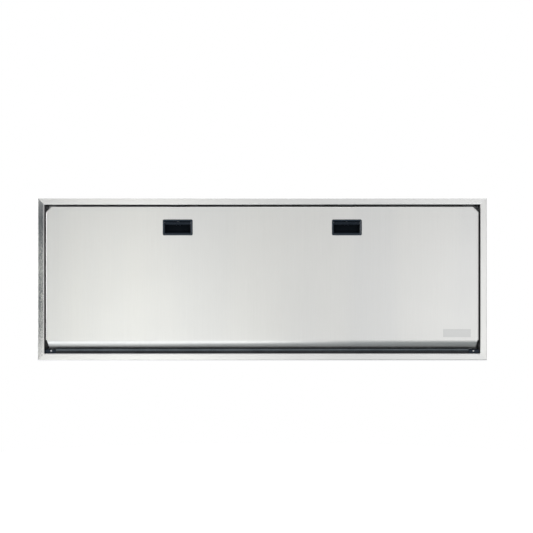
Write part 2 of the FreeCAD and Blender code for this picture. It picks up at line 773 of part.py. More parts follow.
BUCKLE_FACE = f"({LINER_FLOOR} + strap_lift)"


def buckle_socket(side, centre, low):
    """The female half: a hollow shell with a mouth at the top and a release window at each side."""
    half = "(buckle_wide / 2)"
    shell = box(
        f"socket_shell_{side}",
        (f"{centre} - {half}", f"{centre} + {half}"),
        (BUCKLE_FACE, f"{BUCKLE_FACE} + buckle_thick"),
        (low, f"{low} + buckle_tall"),
    )
    soft = rounded(f"socket_round_{side}", shell, "buckle_round", lambda e: along(e, "y") or along(e, "z"))
    inside = (f"{BUCKLE_FACE} + buckle_skin", f"{BUCKLE_FACE} + buckle_thick - buckle_skin")
    mouth = f"({low} + buckle_tall)"
    throat_low = f"{mouth} - tongue_prong_long - throat_past"
    throat = box(
        f"socket_throat_{side}",
        (f"{centre} - {half} + buckle_side", f"{centre} + {half} - buckle_side"),
        inside,
        (throat_low, f"{mouth} + cut_past"),
    )
    windows = box(
        f"socket_windows_{side}",
        (f"{centre} - {half} - cut_past", f"{centre} + {half} + cut_past"),
        inside,
        (throat_low, f"{mouth} - tongue_prong_long / 2"),
    )
    return cut(f"socket_{side}", soft, [throat, windows])


def buckle_tongue(side, centre):
    """The male half: a bar for the webbing and two prongs that reach into the socket."""
    half = "(buckle_wide / 2 - tongue_inset)"
    face = f"({BUCKLE_FACE} + (buckle_thick - tongue_thick) / 2)"
    deep = (face, f"{face} + tongue_thick")
    start = f"({BUCKLE_Z} + buckle_play)"
    block = box(
        f"tongue_block_{side}",
        (f"{centre} - {half}", f"{centre} + {half}"),
        deep,
        (start, f"{start} + tongue_tall - 2 * buckle_play"),
    )
    soft = rounded(f"tongue_round_{side}", block, "buckle_round", lambda e: along(e, "y"))
    skin = "(buckle_skin + buckle_play)"
    thin = (f"{BUCKLE_FACE} + {skin}", f"{BUCKLE_FACE} + buckle_thick - {skin}")
    reach = (f"{start} - tongue_prong_long", f"{start} + cut_past")
    far = "(tongue_prong_from + tongue_prong_wide)"
    spans = (
        (f"{centre} - {far}", f"{centre} - tongue_prong_from"),
        (f"{centre} + tongue_prong_from", f"{centre} + {far}"),
    )
    prongs = [box(f"tongue_prong_{side}_{i}", span, thin, reach) for i, span in enumerate(spans)]
    return fuse(f"tongue_{side}", [soft, *prongs])


def strap_anchor(name, centre, z):
    """A steel bridge over the end of the webbing."""
    half = "strap_anchor_wide / 2"
    span_z = (f"{z} - strap_anchor_tall / 2", f"{z} + strap_anchor_tall / 2")
    block = box(
        f"{name}_block",
        (f"{centre} - {half}", f"{centre} + {half}"),
        (LINER_FLOOR, f"{LINER_FLOOR} + strap_anchor_thick"),
        span_z,
    )
    soft = rounded(f"{name}_round", block, "strap_anchor_round", lambda e: along(e, "y"))
    clear = "(strap_wide / 2 + strap_side_play)"
    tunnel = box(
        f"{name}_tunnel",
        (f"{centre} - {clear}", f"{centre} + {clear}"),
        (f"{LINER_FLOOR} - cut_past", f"{LINER_FLOOR} + strap_anchor_thick - strap_anchor_bridge"),
        (f"{span_z[0]} - cut_past", f"{span_z[1]} + cut_past"),
    )
    reach = "((strap_anchor_wide + strap_wide) / 4)"
    holes = [
        rod(
            f"{name}_hole_{i}",
            "y",
            "strap_screw_radius",
            f"{LINER_FLOOR} - cut_past",
            f"{LINER_FLOOR} + strap_anchor_thick + cut_past",
            f"{centre} {side} {reach}",
            z,
        )
        for i, side in enumerate("-+")
    ]
    return cut(name, soft, [tunnel, *holes])


def latch(side, sign):
    """A flush pull: a cup, a paddle on its pin, and a bolt that the paddle lifts when it is pushed in."""
    centre = f"({sign}latch_spacing / 2)"
    latch_cup(side, centre)
    paddle(side, centre)
    bolt(side, centre)
    strike(side, centre)


def latch_cup(side, centre):
    lip = box(
        f"cup_lip_{side}",
        (f"{centre} - cup_wide / 2", f"{centre} + cup_wide / 2"),
        (f"{SKIN_Y} - cup_lip_thick", SKIN_Y),
        (f"{LATCH_Z} - cup_tall / 2", f"{LATCH_Z} + cup_tall / 2"),
    )
    soft_lip = rounded(f"cup_lip_round_{side}", lip, "cup_corner", lambda e: along(e, "y"))
    front = size(f"{SKIN_Y} - cup_lip_thick")
    eased = rounded(f"cup_lip_eased_{side}", soft_lip, "cup_lip_thick / 2", lambda e: flat_at(e, front))
    shell = box(
        f"cup_shell_{side}",
        (f"{centre} - {CUP_BODY_X}", f"{centre} + {CUP_BODY_X}"),
        (SKIN_Y, CUP_BACK),
        (f"{LATCH_Z} - {CUP_BODY_Z}", f"{LATCH_Z} + {CUP_BODY_Z}"),
    )
    inner_x, inner_z = f"({CUP_BODY_X} - cup_wall)", f"({CUP_BODY_Z} - cup_wall)"
    mouth, floor = f"({SKIN_Y} - cup_lip_thick - cut_past)", f"({CUP_BACK} - cup_wall)"
    hollow = [
        (mouth, f"{LATCH_Z} - {inner_z}"),
        (SKIN_Y, f"{LATCH_Z} - {inner_z}"),
        (floor, f"{LATCH_Z} - {inner_z} + cup_slope"),
        (floor, f"{LATCH_Z} + {inner_z}"),
        (mouth, f"{LATCH_Z} + {inner_z}"),
    ]
    cavity = prism(f"cup_cavity_{side}", (f"{centre} - {inner_x}", f"{centre} + {inner_x}"), hollow)
    deepest = size(floor)
    body_fillet(cavity, f"cup_cavity_round_{side}", "cup_inner_round", lambda e: flat_at(e, deepest))
    bolt_hole = rod(
        f"cup_bolt_hole_{side}",
        "z",
        "bolt_radius + bolt_play",
        LATCH_Z,
        f"{CUP_ROOF} + cut_past",
        centre,
        BOLT_Y,
    )
    pin_hole = rod(
        f"cup_pin_hole_{side}",
        "x",
        "paddle_pin_radius + paddle_pin_play",
        f"{centre} - {CUP_BODY_X} - cut_past",
        f"{centre} + {CUP_BODY_X} + cut_past",
        PADDLE_Y,
        PADDLE_Z,
    )
    whole = fuse(f"cup_whole_{side}", [eased, shell])
    flare = mouth_flare(side, centre, inner_x, inner_z)
    node(cut(f"cup_{side}", whole, [cavity, flare, bolt_hole, pin_hole]), f"latch_cup_{side}")


def mouth_flare(side, centre, half_x, half_z):
    """The bevelled mouth of a latch cup, as a wedge that narrows to the cavity."""
    flare = doc.addObject("Part::Wedge", f"cup_flare_{side}")
    front = f"({SKIN_Y} - cup_lip_thick)"
    flare.setExpression("Ymin", bound(f"{front} - cut_past"))
    flare.setExpression("Ymax", bound(f"{front} + cup_bevel"))
    for axis, middle, half in (("X", centre, half_x), ("Z", LATCH_Z, half_z)):
        wide = f"({half} + cup_bevel + cut_past)"
        flare.setExpression(f"{axis}min", bound(f"{middle} - {wide}"))
        flare.setExpression(f"{axis}max", bound(f"{middle} + {wide}"))
        flare.setExpression(f"{axis}2min", bound(f"{middle} - {half}"))
        flare.setExpression(f"{axis}2max", bound(f"{middle} + {half}"))
    return flare


def paddle(side, centre):
    half = f"({CUP_BODY_X} - cup_wall - paddle_side_gap)"
    face = (f"{PADDLE_Y} - paddle_thick / 2", f"{PADDLE_Y} + paddle_thick / 2")
    flap = box(
        f"paddle_flap_{side}",
        (f"{centre} - {half}", f"{centre} + {half}"),
        face,
        (f"{PADDLE_Z} - paddle_drop", PADDLE_Z),
    )
    low = size(f"{PADDLE_Z} - paddle_drop")
    eased = rounded(
        f"paddle_eased_{side}",
        flap,
        "paddle_edge_round",
        lambda e: along(e, "x") and at(e, z=low),
    )
    barrel = rod(
        f"paddle_barrel_{side}",
        "x",
        "paddle_pin_radius + paddle_thick / 2",
        f"{centre} - {half}",
        f"{centre} + {half}",
        PADDLE_Y,
        PADDLE_Z,
    )
    inner = "(bolt_radius + bolt_play)"
    arm = [
        (PADDLE_Y, f"{PADDLE_Z} + paddle_thick / 2"),
        (f"{PADDLE_Y} + prong_fall + paddle_thick / 2", f"{PADDLE_Z} - prong_fall"),
        (f"{PADDLE_Y} + paddle_reach", f"{PADDLE_Z} - prong_fall"),
        (f"{PADDLE_Y} + paddle_reach", f"{PADDLE_Z} - prong_fall - paddle_thick"),
        (f"{PADDLE_Y} + prong_fall", f"{PADDLE_Z} - prong_fall - paddle_thick"),
        (PADDLE_Y, f"{PADDLE_Z} - paddle_thick"),
    ]
    spans = (
        (f"{centre} - {inner} - prong_wide", f"{centre} - {inner}"),
        (f"{centre} + {inner}", f"{centre} + {inner} + prong_wide"),
    )
    prongs = [prism(f"paddle_prong_{side}_{i}", span, arm) for i, span in enumerate(spans)]
    bore = rod(
        f"paddle_bore_{side}",
        "x",
        "paddle_pin_radius + fixed_fit",
        f"{centre} - {half} - cut_past",
        f"{centre} + {half} + cut_past",
        PADDLE_Y,
        PADDLE_Z,
    )
    whole = fuse(f"paddle_whole_{side}", [eased, barrel, *prongs])
    node(cut(f"paddle_cut_{side}", whole, [bore]), f"latch_paddle_{side}")
    pin = rod(
        f"paddle_pin_bar_{side}",
        "x",
        "paddle_pin_radius",
        f"{centre} - {CUP_BODY_X}",
        f"{centre} + {CUP_BODY_X}",
        PADDLE_Y,
        PADDLE_Z,
    )
    node(pin, f"paddle_pin_{side}")


def bolt(side, centre):
    """The bolt with a collar over the prongs, a clip above the cup and a spring that pushes it down."""
    collar_top = f"({COLLAR_LOW} + bolt_collar_thick)"
    shank = rod(f"bolt_shank_{side}", "z", "bolt_radius", COLLAR_LOW, BOLT_TOP, centre, BOLT_Y)
    collar = rod(f"bolt_collar_{side}", "z", "bolt_collar_radius", COLLAR_LOW, collar_top, centre, BOLT_Y)
    top = size(BOLT_TOP)
    whole = fuse(f"bolt_whole_{side}", [shank, collar])
    tip = rounded(f"bolt_tip_{side}", whole, "bolt_tip_round", lambda e: at(e, z=top))
    node(tip, f"latch_bolt_{side}")
    clip_top = f"({CLIP_LOW} + clip_thick)"
    disc = rod(f"clip_disc_{side}", "z", "bolt_collar_radius", CLIP_LOW, clip_top, centre, BOLT_Y)
    through = (f"{CLIP_LOW} - cut_past", f"{clip_top} + cut_past")
    eye = rod(f"clip_eye_{side}", "z", "bolt_radius + fixed_fit", *through, centre, BOLT_Y)
    node(cut(f"clip_{side}", disc, [eye]), f"bolt_clip_{side}")
    node(bolt_spring(side, centre, clip_top), f"bolt_spring_{side}")


def bolt_spring(side, centre, clip_top):
    """A compression spring between the clip on the bolt and the underside of the top rail."""
    wire, gap = size("spring_wire"), size("spring_end_gap")
    coil = size("(bolt_collar_radius + bolt_radius) / 2 + spring_wire / 2")
    low = size(clip_top) + wire + gap
    high = size(f"{RAIL_TOP} - rail_wide") - wire - gap
    path = Part.makeHelix((high - low) / size("spring_turns"), high - low, coil)
    sides = int(size("spring_wire_sides"))
    turns = [2 * math.pi * i / sides for i in range(sides + 1)]
    section = Part.makePolygon([V(coil + wire * math.cos(a), 0, wire * math.sin(a)) for a in turns])
    made = doc.addObject("Part::Feature", f"spring_{side}")
    made.Shape = Part.Wire(path).makePipeShell([section], True, True)
    made.Placement = FreeCAD.Placement(V(size(centre), size(BOLT_Y), low), FreeCAD.Rotation())
    return made


def strike(side, centre):
    plate = box(
        f"strike_block_{side}",
        (f"{centre} - strike_wide / 2", f"{centre} + strike_wide / 2"),
        (f"{BOLT_Y} - strike_deep / 2", f"{BOLT_Y} + strike_deep / 2"),
        (STRIKE_LOW, OPEN_Z),
    )
    through = (f"{STRIKE_LOW} - cut_past", f"{OPEN_Z} + cut_past")
    half = "(bolt_radius + strike_slot_play)"
    slot_x = (f"{centre} - {half}", f"{centre} + {half}")
    slot_y = (f"{BOLT_Y} - {half}", f"{BOLT_Y} + {half}")
    tools = [box(f"strike_slot_{side}", slot_x, slot_y, through)]
    screws = []
    shank_radius, head_low = "strike_screw_radius - screw_play", f"{STRIKE_LOW} - strike_head_high"
    for i, hand in enumerate("-+"):
        x = f"({centre} {hand} strike_screw_spacing / 2)"
        tools.append(rod(f"strike_hole_{side}_{i}", "z", "strike_screw_radius", *through, x, BOLT_Y))
        shank = rod(f"strike_shank_{side}_{i}", "z", shank_radius, STRIKE_LOW, OPEN_Z, x, BOLT_Y)
        head = rod(f"strike_head_{side}_{i}", "z", "strike_head_radius", head_low, STRIKE_LOW, x, BOLT_Y)
        screws.append(fuse(f"strike_screw_{side}_{i}", [shank, head]))
    node(cut(f"strike_{side}", plate, tools), f"strike_plate_{side}")
    node(group(f"strike_screw_pair_{side}", screws), f"strike_screws_{side}")


def strut(side, sign):
    """A gas strut from an anchor high on the side wall to a slotted bracket on the bed's end rail."""
    x = f"({sign}{STRUT_X})"
    inward = "-1 * " if sign.startswith("1") else "1 * "
    wall = f"({sign}{OPEN_X})"
    face = f"({wall} + {inward}anchor_thick)"
    stud_end = f"({x} + {inward}(strut_eye_wide / 2 + anchor_stud_past))"
    half = "anchor_plate / 2"
    plate = box(
        f"anchor_plate_{side}",
        ordered(wall, face),
        (f"{STRUT_TOP_Y} - {half}", f"{STRUT_TOP_Y} + {half} - anchor_back_trim"),
        (f"{STRUT_TOP_Z} - {half}", f"{STRUT_TOP_Z} + {half}"),
    )
    pivot = (STRUT_TOP_Y, STRUT_TOP_Z)
    stud = rod(f"anchor_stud_{side}", "x", "strut_pin_radius", *ordered(face, stud_end), *pivot)
    cap_end = f"({stud_end} + {inward}anchor_cap_thick)"
    cap = rod(f"anchor_cap_{side}", "x", "anchor_cap_radius", *ordered(stud_end, cap_end), *pivot)
    node(fuse(f"anchor_{side}", [plate, stud, cap]), f"strut_anchor_{side}")
    slotted_bracket(side, sign)
    strut_bodies(side, x, inward)


def ordered(first, second):
    """The two expressions with the smaller one first."""
    return (first, second) if size(first) < size(second) else (second, first)


def slotted_bracket(side, sign):
    near, far = f"({sign}{RAIL_X})", f"({sign}({RAIL_X} + bracket_thick))"
    span = ordered(near, far)
    slot_high = f"({STRUT_FOOT_Z} + slot_lift)"
    slot_low = f"({slot_high} - slot_long)"
    half = "(slot_wide / 2 + bracket_wall)"
    block = box(
        f"bracket_block_{side}",
        span,
        (f"{STRUT_FOOT_Y} - {half}", f"{STRUT_FOOT_Y} + {half}"),
        (f"{slot_low} - bracket_wall", f"{slot_high} + bracket_foot"),
    )
    soft = rounded(f"bracket_round_{side}", block, "bracket_round", lambda e: along(e, "x"))
    through = (f"{span[0]} - cut_past", f"{span[1]} + cut_past")
    slot = box(
        f"bracket_slot_{side}",
        through,
        (f"{STRUT_FOOT_Y} - slot_wide / 2", f"{STRUT_FOOT_Y} + slot_wide / 2"),
        (slot_low, slot_high),
    )
    soft_slot = rounded(f"bracket_slot_round_{side}", slot, "slot_round", lambda e: along(e, "x"))
    node(cut(f"bracket_{side}", soft, [soft_slot]), f"strut_bracket_{side}")


def strut_bodies(side, x, inward):
    """Cylinder and rod, drawn hanging from the anchor along Z and then turned to face the bracket."""
    dy, dz = size(f"{STRUT_FOOT_Y} - {STRUT_TOP_Y}"), size(f"{STRUT_FOOT_Z} - {STRUT_TOP_Z}")
    length = math.hypot(dy, dz)
    turn = FreeCAD.Rotation(V(1, 0, 0), math.degrees(math.atan2(dy, -dz)))
    place = FreeCAD.Placement(V(size(x), size(STRUT_TOP_Y), size(STRUT_TOP_Z)), turn)
    eye_half = "strut_eye_wide / 2"
    eye = rod(f"cylinder_eye_{side}", "x", "strut_eye_radius", f"-{eye_half}", eye_half, "0", "0")
    tube_top = "(-strut_eye_radius - strut_neck_long)"
    neck = rod(f"cylinder_neck_{side}", "z", "strut_neck_radius", f"{tube_top} - cut_past", "0", "0", "0")
    barrel = rod(f"cylinder_barrel_{side}", "z", "cylinder_radius", "-cylinder_length", tube_top, "0", "0")
    whole = fuse(f"cylinder_whole_{side}", [eye, neck, barrel])
    pin_hole = rod(
        f"cylinder_pin_hole_{side}",
        "x",
        "strut_pin_radius + strut_pin_play",
        f"-{eye_half} - cut_past",
        f"{eye_half} + cut_past",
        "0",
        "0",
    )
    bore_low, bore_high = "(cylinder_cap - cylinder_length)", f"({tube_top} - cylinder_cap)"
    bore = rod(f"cylinder_bore_{side}", "z", "cylinder_bore", bore_low, bore_high, "0", "0")
    mouth = "(-cylinder_length - cut_past)"
    rod_hole = rod(f"cylinder_rod_hole_{side}", "z", "rod_radius + rod_play", mouth, bore_low, "0", "0")
    cylinder = cut(f"cylinder_{side}", whole, [pin_hole, bore, rod_hole])
    cylinder.Placement = place
    node(cylinder, f"strut_cylinder_{side}")
    foot = str(-length)
    inner_end = "(rod_inside - cylinder_length)"
    stem = rod(f"rod_stem_{side}", "z", "rod_radius", foot, inner_end, "0", "0")
    piston = rod(
        f"rod_piston_{side}",
        "z",
        "cylinder_bore - rod_play",
        f"{inner_end} - piston_length / 2",
        f"{inner_end} + piston_length / 2",
        "0",
        "0",
    )
    end = rod(f"rod_eye_{side}", "x", "strut_eye_radius", f"-{eye_half}", eye_half, "0", foot)
    tip = f"({inward}({STRUT_X} - {RAIL_X} - strut_pin_gap))"
    pin = rod(f"rod_pin_{side}", "x", "strut_pin_radius", *ordered("0", tip), "0", foot)
    made = fuse(f"rod_{side}", [stem, piston, end, pin])
    made.Placement = place
    node(made, f"strut_rod_{side}")
    print(f"strut {side}: {length:.1f} mm between pivots")


def bumpers():
    """Rubber posts on the rear panel that the bed's rim shuts against."""
    posts = []
    tip = f"({LINER_BACK} + bumper_gap)"
    for i, x in enumerate((f"liner_rim / 2 - {LINER_X}", f"{LINER_X} - liner_rim / 2")):
        for k, z in enumerate(("-bumper_height", "bumper_height")):
            post = doc.addObject("Part::Cone", f"post_{i}_{k}")
            post.Placement = FreeCAD.Placement(V(), TURNS["y"])
            post.setExpression("Radius1", bound("bumper_tip_radius"))
            post.setExpression("Radius2", bound("bumper_radius"))
            post.setExpression("Height", bound(f"-box_sheet - {tip}"))
            for corner, place in (("x", x), ("y", tip), ("z", z)):
                post.setExpression(f"Placement.Base.{corner}", bound(place))
            posts.append(post)
    node(group("post_set", posts), "bumper_posts")


wall_box()
frame_bar("frame_top_bar", "1 * ", False)
frame_bar("frame_bottom_bar", "-1 * ", False)
frame_bar("frame_left_bar", "-1 * ", True)
frame_bar("frame_right_bar", "1 * ", True)
door_skin()
hinge()
bed_frame()
bed_liner()
straps()
for hand, direction in (("left", "-1 * "), ("right", "1 * ")):
    latch(hand, direction)
    strut(hand, direction)
bumpers()
doc.recompute()

faults = [o.Label for o in doc.Objects if "Invalid" in o.State or "Error" in o.State]
faults += [n.Label for n in nodes if n.Shape.isNull() or not n.Shape.isValid() or n.Shape.Volume <= 0]
if faults:
    raise RuntimeError(f"these objects failed: {faults}")
os.makedirs("parts", exist_ok=True)
for n in nodes:
    n.Shape.exportStep(f"parts/{n.Label}.step")
print(f"{len(nodes)} sub-parts written")
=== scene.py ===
import math

import bmesh
import bpy
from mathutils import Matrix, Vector


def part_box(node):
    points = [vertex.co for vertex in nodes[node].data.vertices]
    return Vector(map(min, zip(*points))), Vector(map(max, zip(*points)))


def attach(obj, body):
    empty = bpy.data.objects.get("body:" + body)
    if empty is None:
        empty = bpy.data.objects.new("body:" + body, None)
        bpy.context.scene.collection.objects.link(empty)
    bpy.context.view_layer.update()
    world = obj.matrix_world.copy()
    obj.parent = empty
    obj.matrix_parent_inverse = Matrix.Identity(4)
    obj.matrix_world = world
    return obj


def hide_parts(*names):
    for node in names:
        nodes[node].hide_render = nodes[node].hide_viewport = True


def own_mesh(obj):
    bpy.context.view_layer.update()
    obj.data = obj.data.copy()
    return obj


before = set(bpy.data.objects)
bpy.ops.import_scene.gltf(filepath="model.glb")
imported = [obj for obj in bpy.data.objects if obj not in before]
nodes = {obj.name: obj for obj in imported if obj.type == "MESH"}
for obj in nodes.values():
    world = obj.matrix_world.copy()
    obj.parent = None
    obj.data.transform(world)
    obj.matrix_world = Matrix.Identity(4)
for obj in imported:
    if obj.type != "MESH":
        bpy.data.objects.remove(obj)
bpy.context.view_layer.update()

sides = {"left": -1, "right": 1}


class Amount:  # a shader value that can stand in a sum
    def __init__(self, shading, socket):
        self.shading, self.socket = shading, socket

    def join(self, operation, first, second=0):
        return self.shading.node("ShaderNodeMath", {"operation": operation}, {0: first, 1: second})

    def __add__(self, other):
        return self.join("ADD", self, other)

    def __radd__(self, other):
        return self.join("ADD", other, self)

    def __sub__(self, other):
        return self.join("SUBTRACT", self, other)

    def __rsub__(self, other):
        return self.join("SUBTRACT", other, self)

    def __mul__(self, other):
        return self.join("MULTIPLY", self, other)

    def __rmul__(self, other):
        return self.join("MULTIPLY", other, self)

    def __pow__(self, other):
        return self.join("POWER", self, other)

    def __abs__(self):
        return self.join("ABSOLUTE", self)

    def sine(self):
        return self.join("SINE", self)

    def least(self, other):
        return self.join("MINIMUM", self, other)

    def zigzag(self, length):  # up to a length and back again
        return self.join("PINGPONG", self, length)


class Shading:  # a node tree and the one way to add to it
    def __init__(self, tree):
        self.tree = tree

    def node(self, kind, settings=None, sockets=None, out=0):
        made = self.tree.nodes.new(kind)
        for name, value in (settings or {}).items():
            setattr(made, name, value)
        for name, value in (sockets or {}).items():
            self.feed(made.inputs[name], value)
        return Amount(self, made.outputs[out]) if made.outputs else None

    def feed(self, socket, value):
        if isinstance(value, Amount):
            self.tree.links.new(value.socket, socket)
        elif socket.type == "RGBA" and len(value) == 3:
            socket.default_value = (*value, 1)
        else:
            socket.default_value = value

    def parts(self, kind, sockets=None):  # all outputs of a node, by name
        made = self.node(kind, None, sockets).socket.node
        return {output.name: Amount(self, output) for output in made.outputs}


noiseMiddle = 0.5  # noise sways about this value

# what a look says where it says nothing else
# patches hold (layer, low, high, share, colour) and rubbed holds (layer, low, high, share)
# shade, dull and relief hold each layer's share in the lightness, roughness and height
plainLook = {
    "patches": (), "light": 1.0, "shade": {}, "dull": {}, "rubbed": (), "relief": {}, "metallic": 0.0,
}


class Finish(Shading):  # a material made of layers of noise, as its look says
    def __init__(self, name, look, axis=None):
        self.material = bpy.data.materials.new(name)
        self.material.use_nodes = True
        super().__init__(self.material.node_tree)
        self.shader = self.tree.nodes["Principled BSDF"]
        self.look = {**plainLook, **look}
        self.place = self.node("ShaderNodeTexCoord", out="Object")
        self.layers = {part: self.layer(axis, **values) for part, values in look["layers"].items()}

    def layer(self, axis, scale, along=None, detail=2.0, rough=0.5, cells=None):
        spread = list(scale) if isinstance(scale, tuple) else [scale] * 3
        if along:  # drawn out along the axis
            spread["xyz".index(axis)] = along
        spot = self.node("ShaderNodeVectorMath", {"operation": "MULTIPLY"}, {0: self.place, 1: spread})
        sockets = {"Vector": spot, "Scale": 1.0}
        if cells:
            return self.node("ShaderNodeTexVoronoi", {"feature": cells}, sockets, "Distance")
        return self.node("ShaderNodeTexNoise", None, {**sockets, "Detail": detail, "Roughness": rough})

    def axes(self):
        parts = self.parts("ShaderNodeSeparateXYZ", {0: self.place})
        return [parts[letter] for letter in "XYZ"]

    def step(self, value, low, high):  # 0 below low, 1 above high, smooth between
        sockets = {"Value": value, "From Min": low, "From Max": high}
        return self.node("ShaderNodeMapRange", {"interpolation_type": "SMOOTHSTEP"}, sockets)

    def mix(self, share, first, second):  # the node's sockets 6 and 7 and its output 2 are colours
        return self.node("ShaderNodeMix", {"data_type": "RGBA"}, {0: share, 6: first, 7: second}, 2)

    def lit(self, colour, amount):
        return self.node("ShaderNodeVectorMath", {"operation": "SCALE"}, {0: colour, "Scale": amount})

    def varied(self, level, shares):  # a level that sways with the layers
        for part, share in shares.items():
            level = level + share * (self.layers[part] - noiseMiddle)
        return level

    def tint(self, colour=None):  # a colour, or the look's own, with the look's patches over it
        tint = colour or self.look["colour"]
        for part, low, high, share, other in self.look["patches"]:
            tint = self.mix(share * self.step(self.layers[part], low, high), tint, other)
        return tint

    def rough(self):
        level = self.varied(self.look["roughness"], self.look["dull"])
        for part, low, high, share in self.look["rubbed"]:
            level = level + share * self.step(self.layers[part], low, high)
        return level

    def height(self):
        total = 0.0
        for part, share in self.look["relief"].items():
            total = total + share * self.layers[part]
        return total

    def hold(self, name, value):  # a value that is the same all over
        self.feed(self.shader.inputs[name], value)

    def surface(self, **sockets):
        for name, value in sockets.items():
            self.feed(self.shader.inputs[name.replace("_", " ").title()], value)
        return self.material

    def finished(self, tint=None, rough=None, height=None):  # the look's own values where none is given
        look = self.look
        tint, rough, height = tint or self.tint(), rough or self.rough(), height or self.height()
        if height:
            bump = {"Height": height, "Distance": look["depth"], "Strength": look["strength"]}
            self.surface(normal=self.node("ShaderNodeBump", None, bump))
        if look["shade"]:
            tint = self.lit(tint, self.varied(look["light"], look["shade"]))
        return self.surface(base_color=tint, roughness=rough, metallic=look["metallic"])


brushing = {
    "layers": {
        "hairs": {"scale": 1500.0, "along": 11.0, "detail": 3.0, "rough": 0.60},
        "lines": {"scale": 260.0, "along": 1.6, "detail": 2.0, "rough": 0.55},
        "bands": {"scale": 4.5, "along": 0.5, "detail": 1.0},
        "smears": {"scale": 5.0, "detail": 3.0, "rough": 0.60},
    },
    "colour": (0.490, 0.492, 0.489), "patches": [("bands", 0.35, 0.65, 1.0, (0.505, 0.505, 0.496))],
    "shade": {"hairs": 0.16, "lines": 0.06, "smears": 0.04},
    "dull": {"lines": 0.05, "smears": 0.06, "hairs": 0.12}, "metallic": 1.0,
    "relief": {"hairs": 1.0, "lines": 0.2}, "depth": 0.00004, "strength": 0.6,
}
doorRoll = {"from": -0.276, "to": -0.256, "dulled": 0.20}


def brushedSteel(name, axis, roughness, light, roll=None):
    fin = Finish(name, {**brushing, "roughness": roughness, "light": light}, axis)
    rough = fin.rough()
    if roll:  # the formed lower edge is duller
        flat = fin.step(fin.axes()[2], roll["from"], roll["to"])
        rough = rough + roll["dulled"] * (1 - flat)
    return fin.finished(rough=rough)


millFinish = {
    "layers": {
        "rolled": {"scale": 420.0, "along": 12.0, "detail": 2.0, "rough": 0.60},
        "cloud": {"scale": 22.0, "detail": 4.0, "rough": 0.62},
        "flecks": {"scale": 900.0},
    },
    "cloudEdges": (0.32, 0.70), "shade": {"rolled": 0.18, "flecks": 0.16},
    "roughness": 0.42, "dull": {"cloud": 0.22, "rolled": 0.12}, "metallic": 1.0,
    "relief": {"rolled": 1.0, "flecks": 0.6}, "depth": 0.00004, "strength": 0.6,
}
steels = {  # dark and pale tones
    "mill": ((0.40, 0.41, 0.43), (0.50, 0.51, 0.52)),
    "zinc": ((0.46, 0.47, 0.47), (0.55, 0.56, 0.58)),
    # the hinge and blackened tones are kept dark partly as painted shade, standing in for the shade in
    # the gaps round the door
    "hinge": ((0.066, 0.077, 0.085), (0.090, 0.103, 0.113)),
    "blackened": ((0.020, 0.021, 0.023), (0.030, 0.032, 0.035)),
}


def plainSteel(name, steel, axis="x"):
    dark, pale = steels[steel]
    cloud = ("cloud", *millFinish["cloudEdges"], 1.0, pale)
    return Finish(name, {**millFinish, "colour": dark, "patches": [cloud]}, axis).finished()


boxSheet = {
    "layers": {
        "rolled": {"scale": 520.0, "along": 14.0, "detail": 3.0, "rough": 0.60},
        "smears": {"scale": 9.0, "along": 3.2, "detail": 4.0, "rough": 0.62},
        "specks": {"scale": 1100.0},
    },
    # these colours sit darker than the front steel, partly a duller mill sheet and partly painted shade
    # for the recess behind the door
    "colour": (0.375, 0.385, 0.395), "patches": [("smears", 0.30, 0.72, 1.0, (0.43, 0.44, 0.45))],
    "shade": {"rolled": 0.16, "specks": 0.12},
    "roughness": 0.40, "dull": {"smears": 0.14, "rolled": 0.12}, "metallic": 1.0,
    "relief": {"rolled": 1.0, "specks": 0.5}, "depth": 0.00004, "strength": 0.6,
}
spotWelds = {
    "pitch": 0.030, "rows": 0.293, "columns": 0.878, "fromBack": -0.012, "edge": (0.0021, 0.0036),
    "colour": (0.25, 0.25, 0.26), "dulled": 0.12, "sunk": 6.0,
}


def sheetSteel(name):  # rolled sheet with rows of spot welds along its seams
    fin = Finish(name, boxSheet, "x")
    x, y, z = fin.axes()
    stepX, stepZ = x.zigzag(spotWelds["pitch"]), z.zigzag(spotWelds["pitch"])
    rows, columns = abs(z) - spotWelds["rows"], abs(x) - spotWelds["columns"]
    rear = y - spotWelds["fromBack"]
    offsets = ((stepX, rows), (stepZ, columns), (stepX, rear), (stepZ, rear))
    far = [(a * a + b * b) ** 0.5 for a, b in offsets]
    nearest = far[0].least(far[1]).least(far[2].least(far[3]))
    plain = fin.step(nearest, *spotWelds["edge"])
    return fin.finished(
        tint=fin.mix(plain, spotWelds["colour"], fin.tint()),
        rough=fin.rough() + spotWelds["dulled"] * (1 - plain),
        height=fin.height() + spotWelds["sunk"] * plain,
    )


moulding = {
    "layers": {
        "leather": {"scale": 900.0, "cells": "F1"},
        "fine": {"scale": 2600.0},
        "wear": {"scale": 70.0, "detail": 4.0, "rough": 0.60},
    },
    "colour": (0.0050, 0.0070, 0.0105), "patches": [("wear", 0.42, 0.75, 1.0, (0.013, 0.016, 0.022))],
    "shade": {"fine": 0.3}, "roughness": 0.42, "dull": {"wear": 0.20, "fine": 0.10},
    "relief": {"leather": 1.0, "fine": 0.5}, "depth": 0.00008, "strength": 0.5,
    "gloss": 0.26, "sheen": (0.62, 0.78, 1.0),
}
cupMouth = {
    # the well's colour, darker than the rim's, is painted shade in the cup's recess
    "from": -0.1140, "to": -0.1125, "rim": (0.006, 0.013, 0.022), "well": (0.0072, 0.0100, 0.0135),
    "dulled": 0.34, "polish": 0.5, "polishRoughness": 0.30, "gloss": 0.10,
}


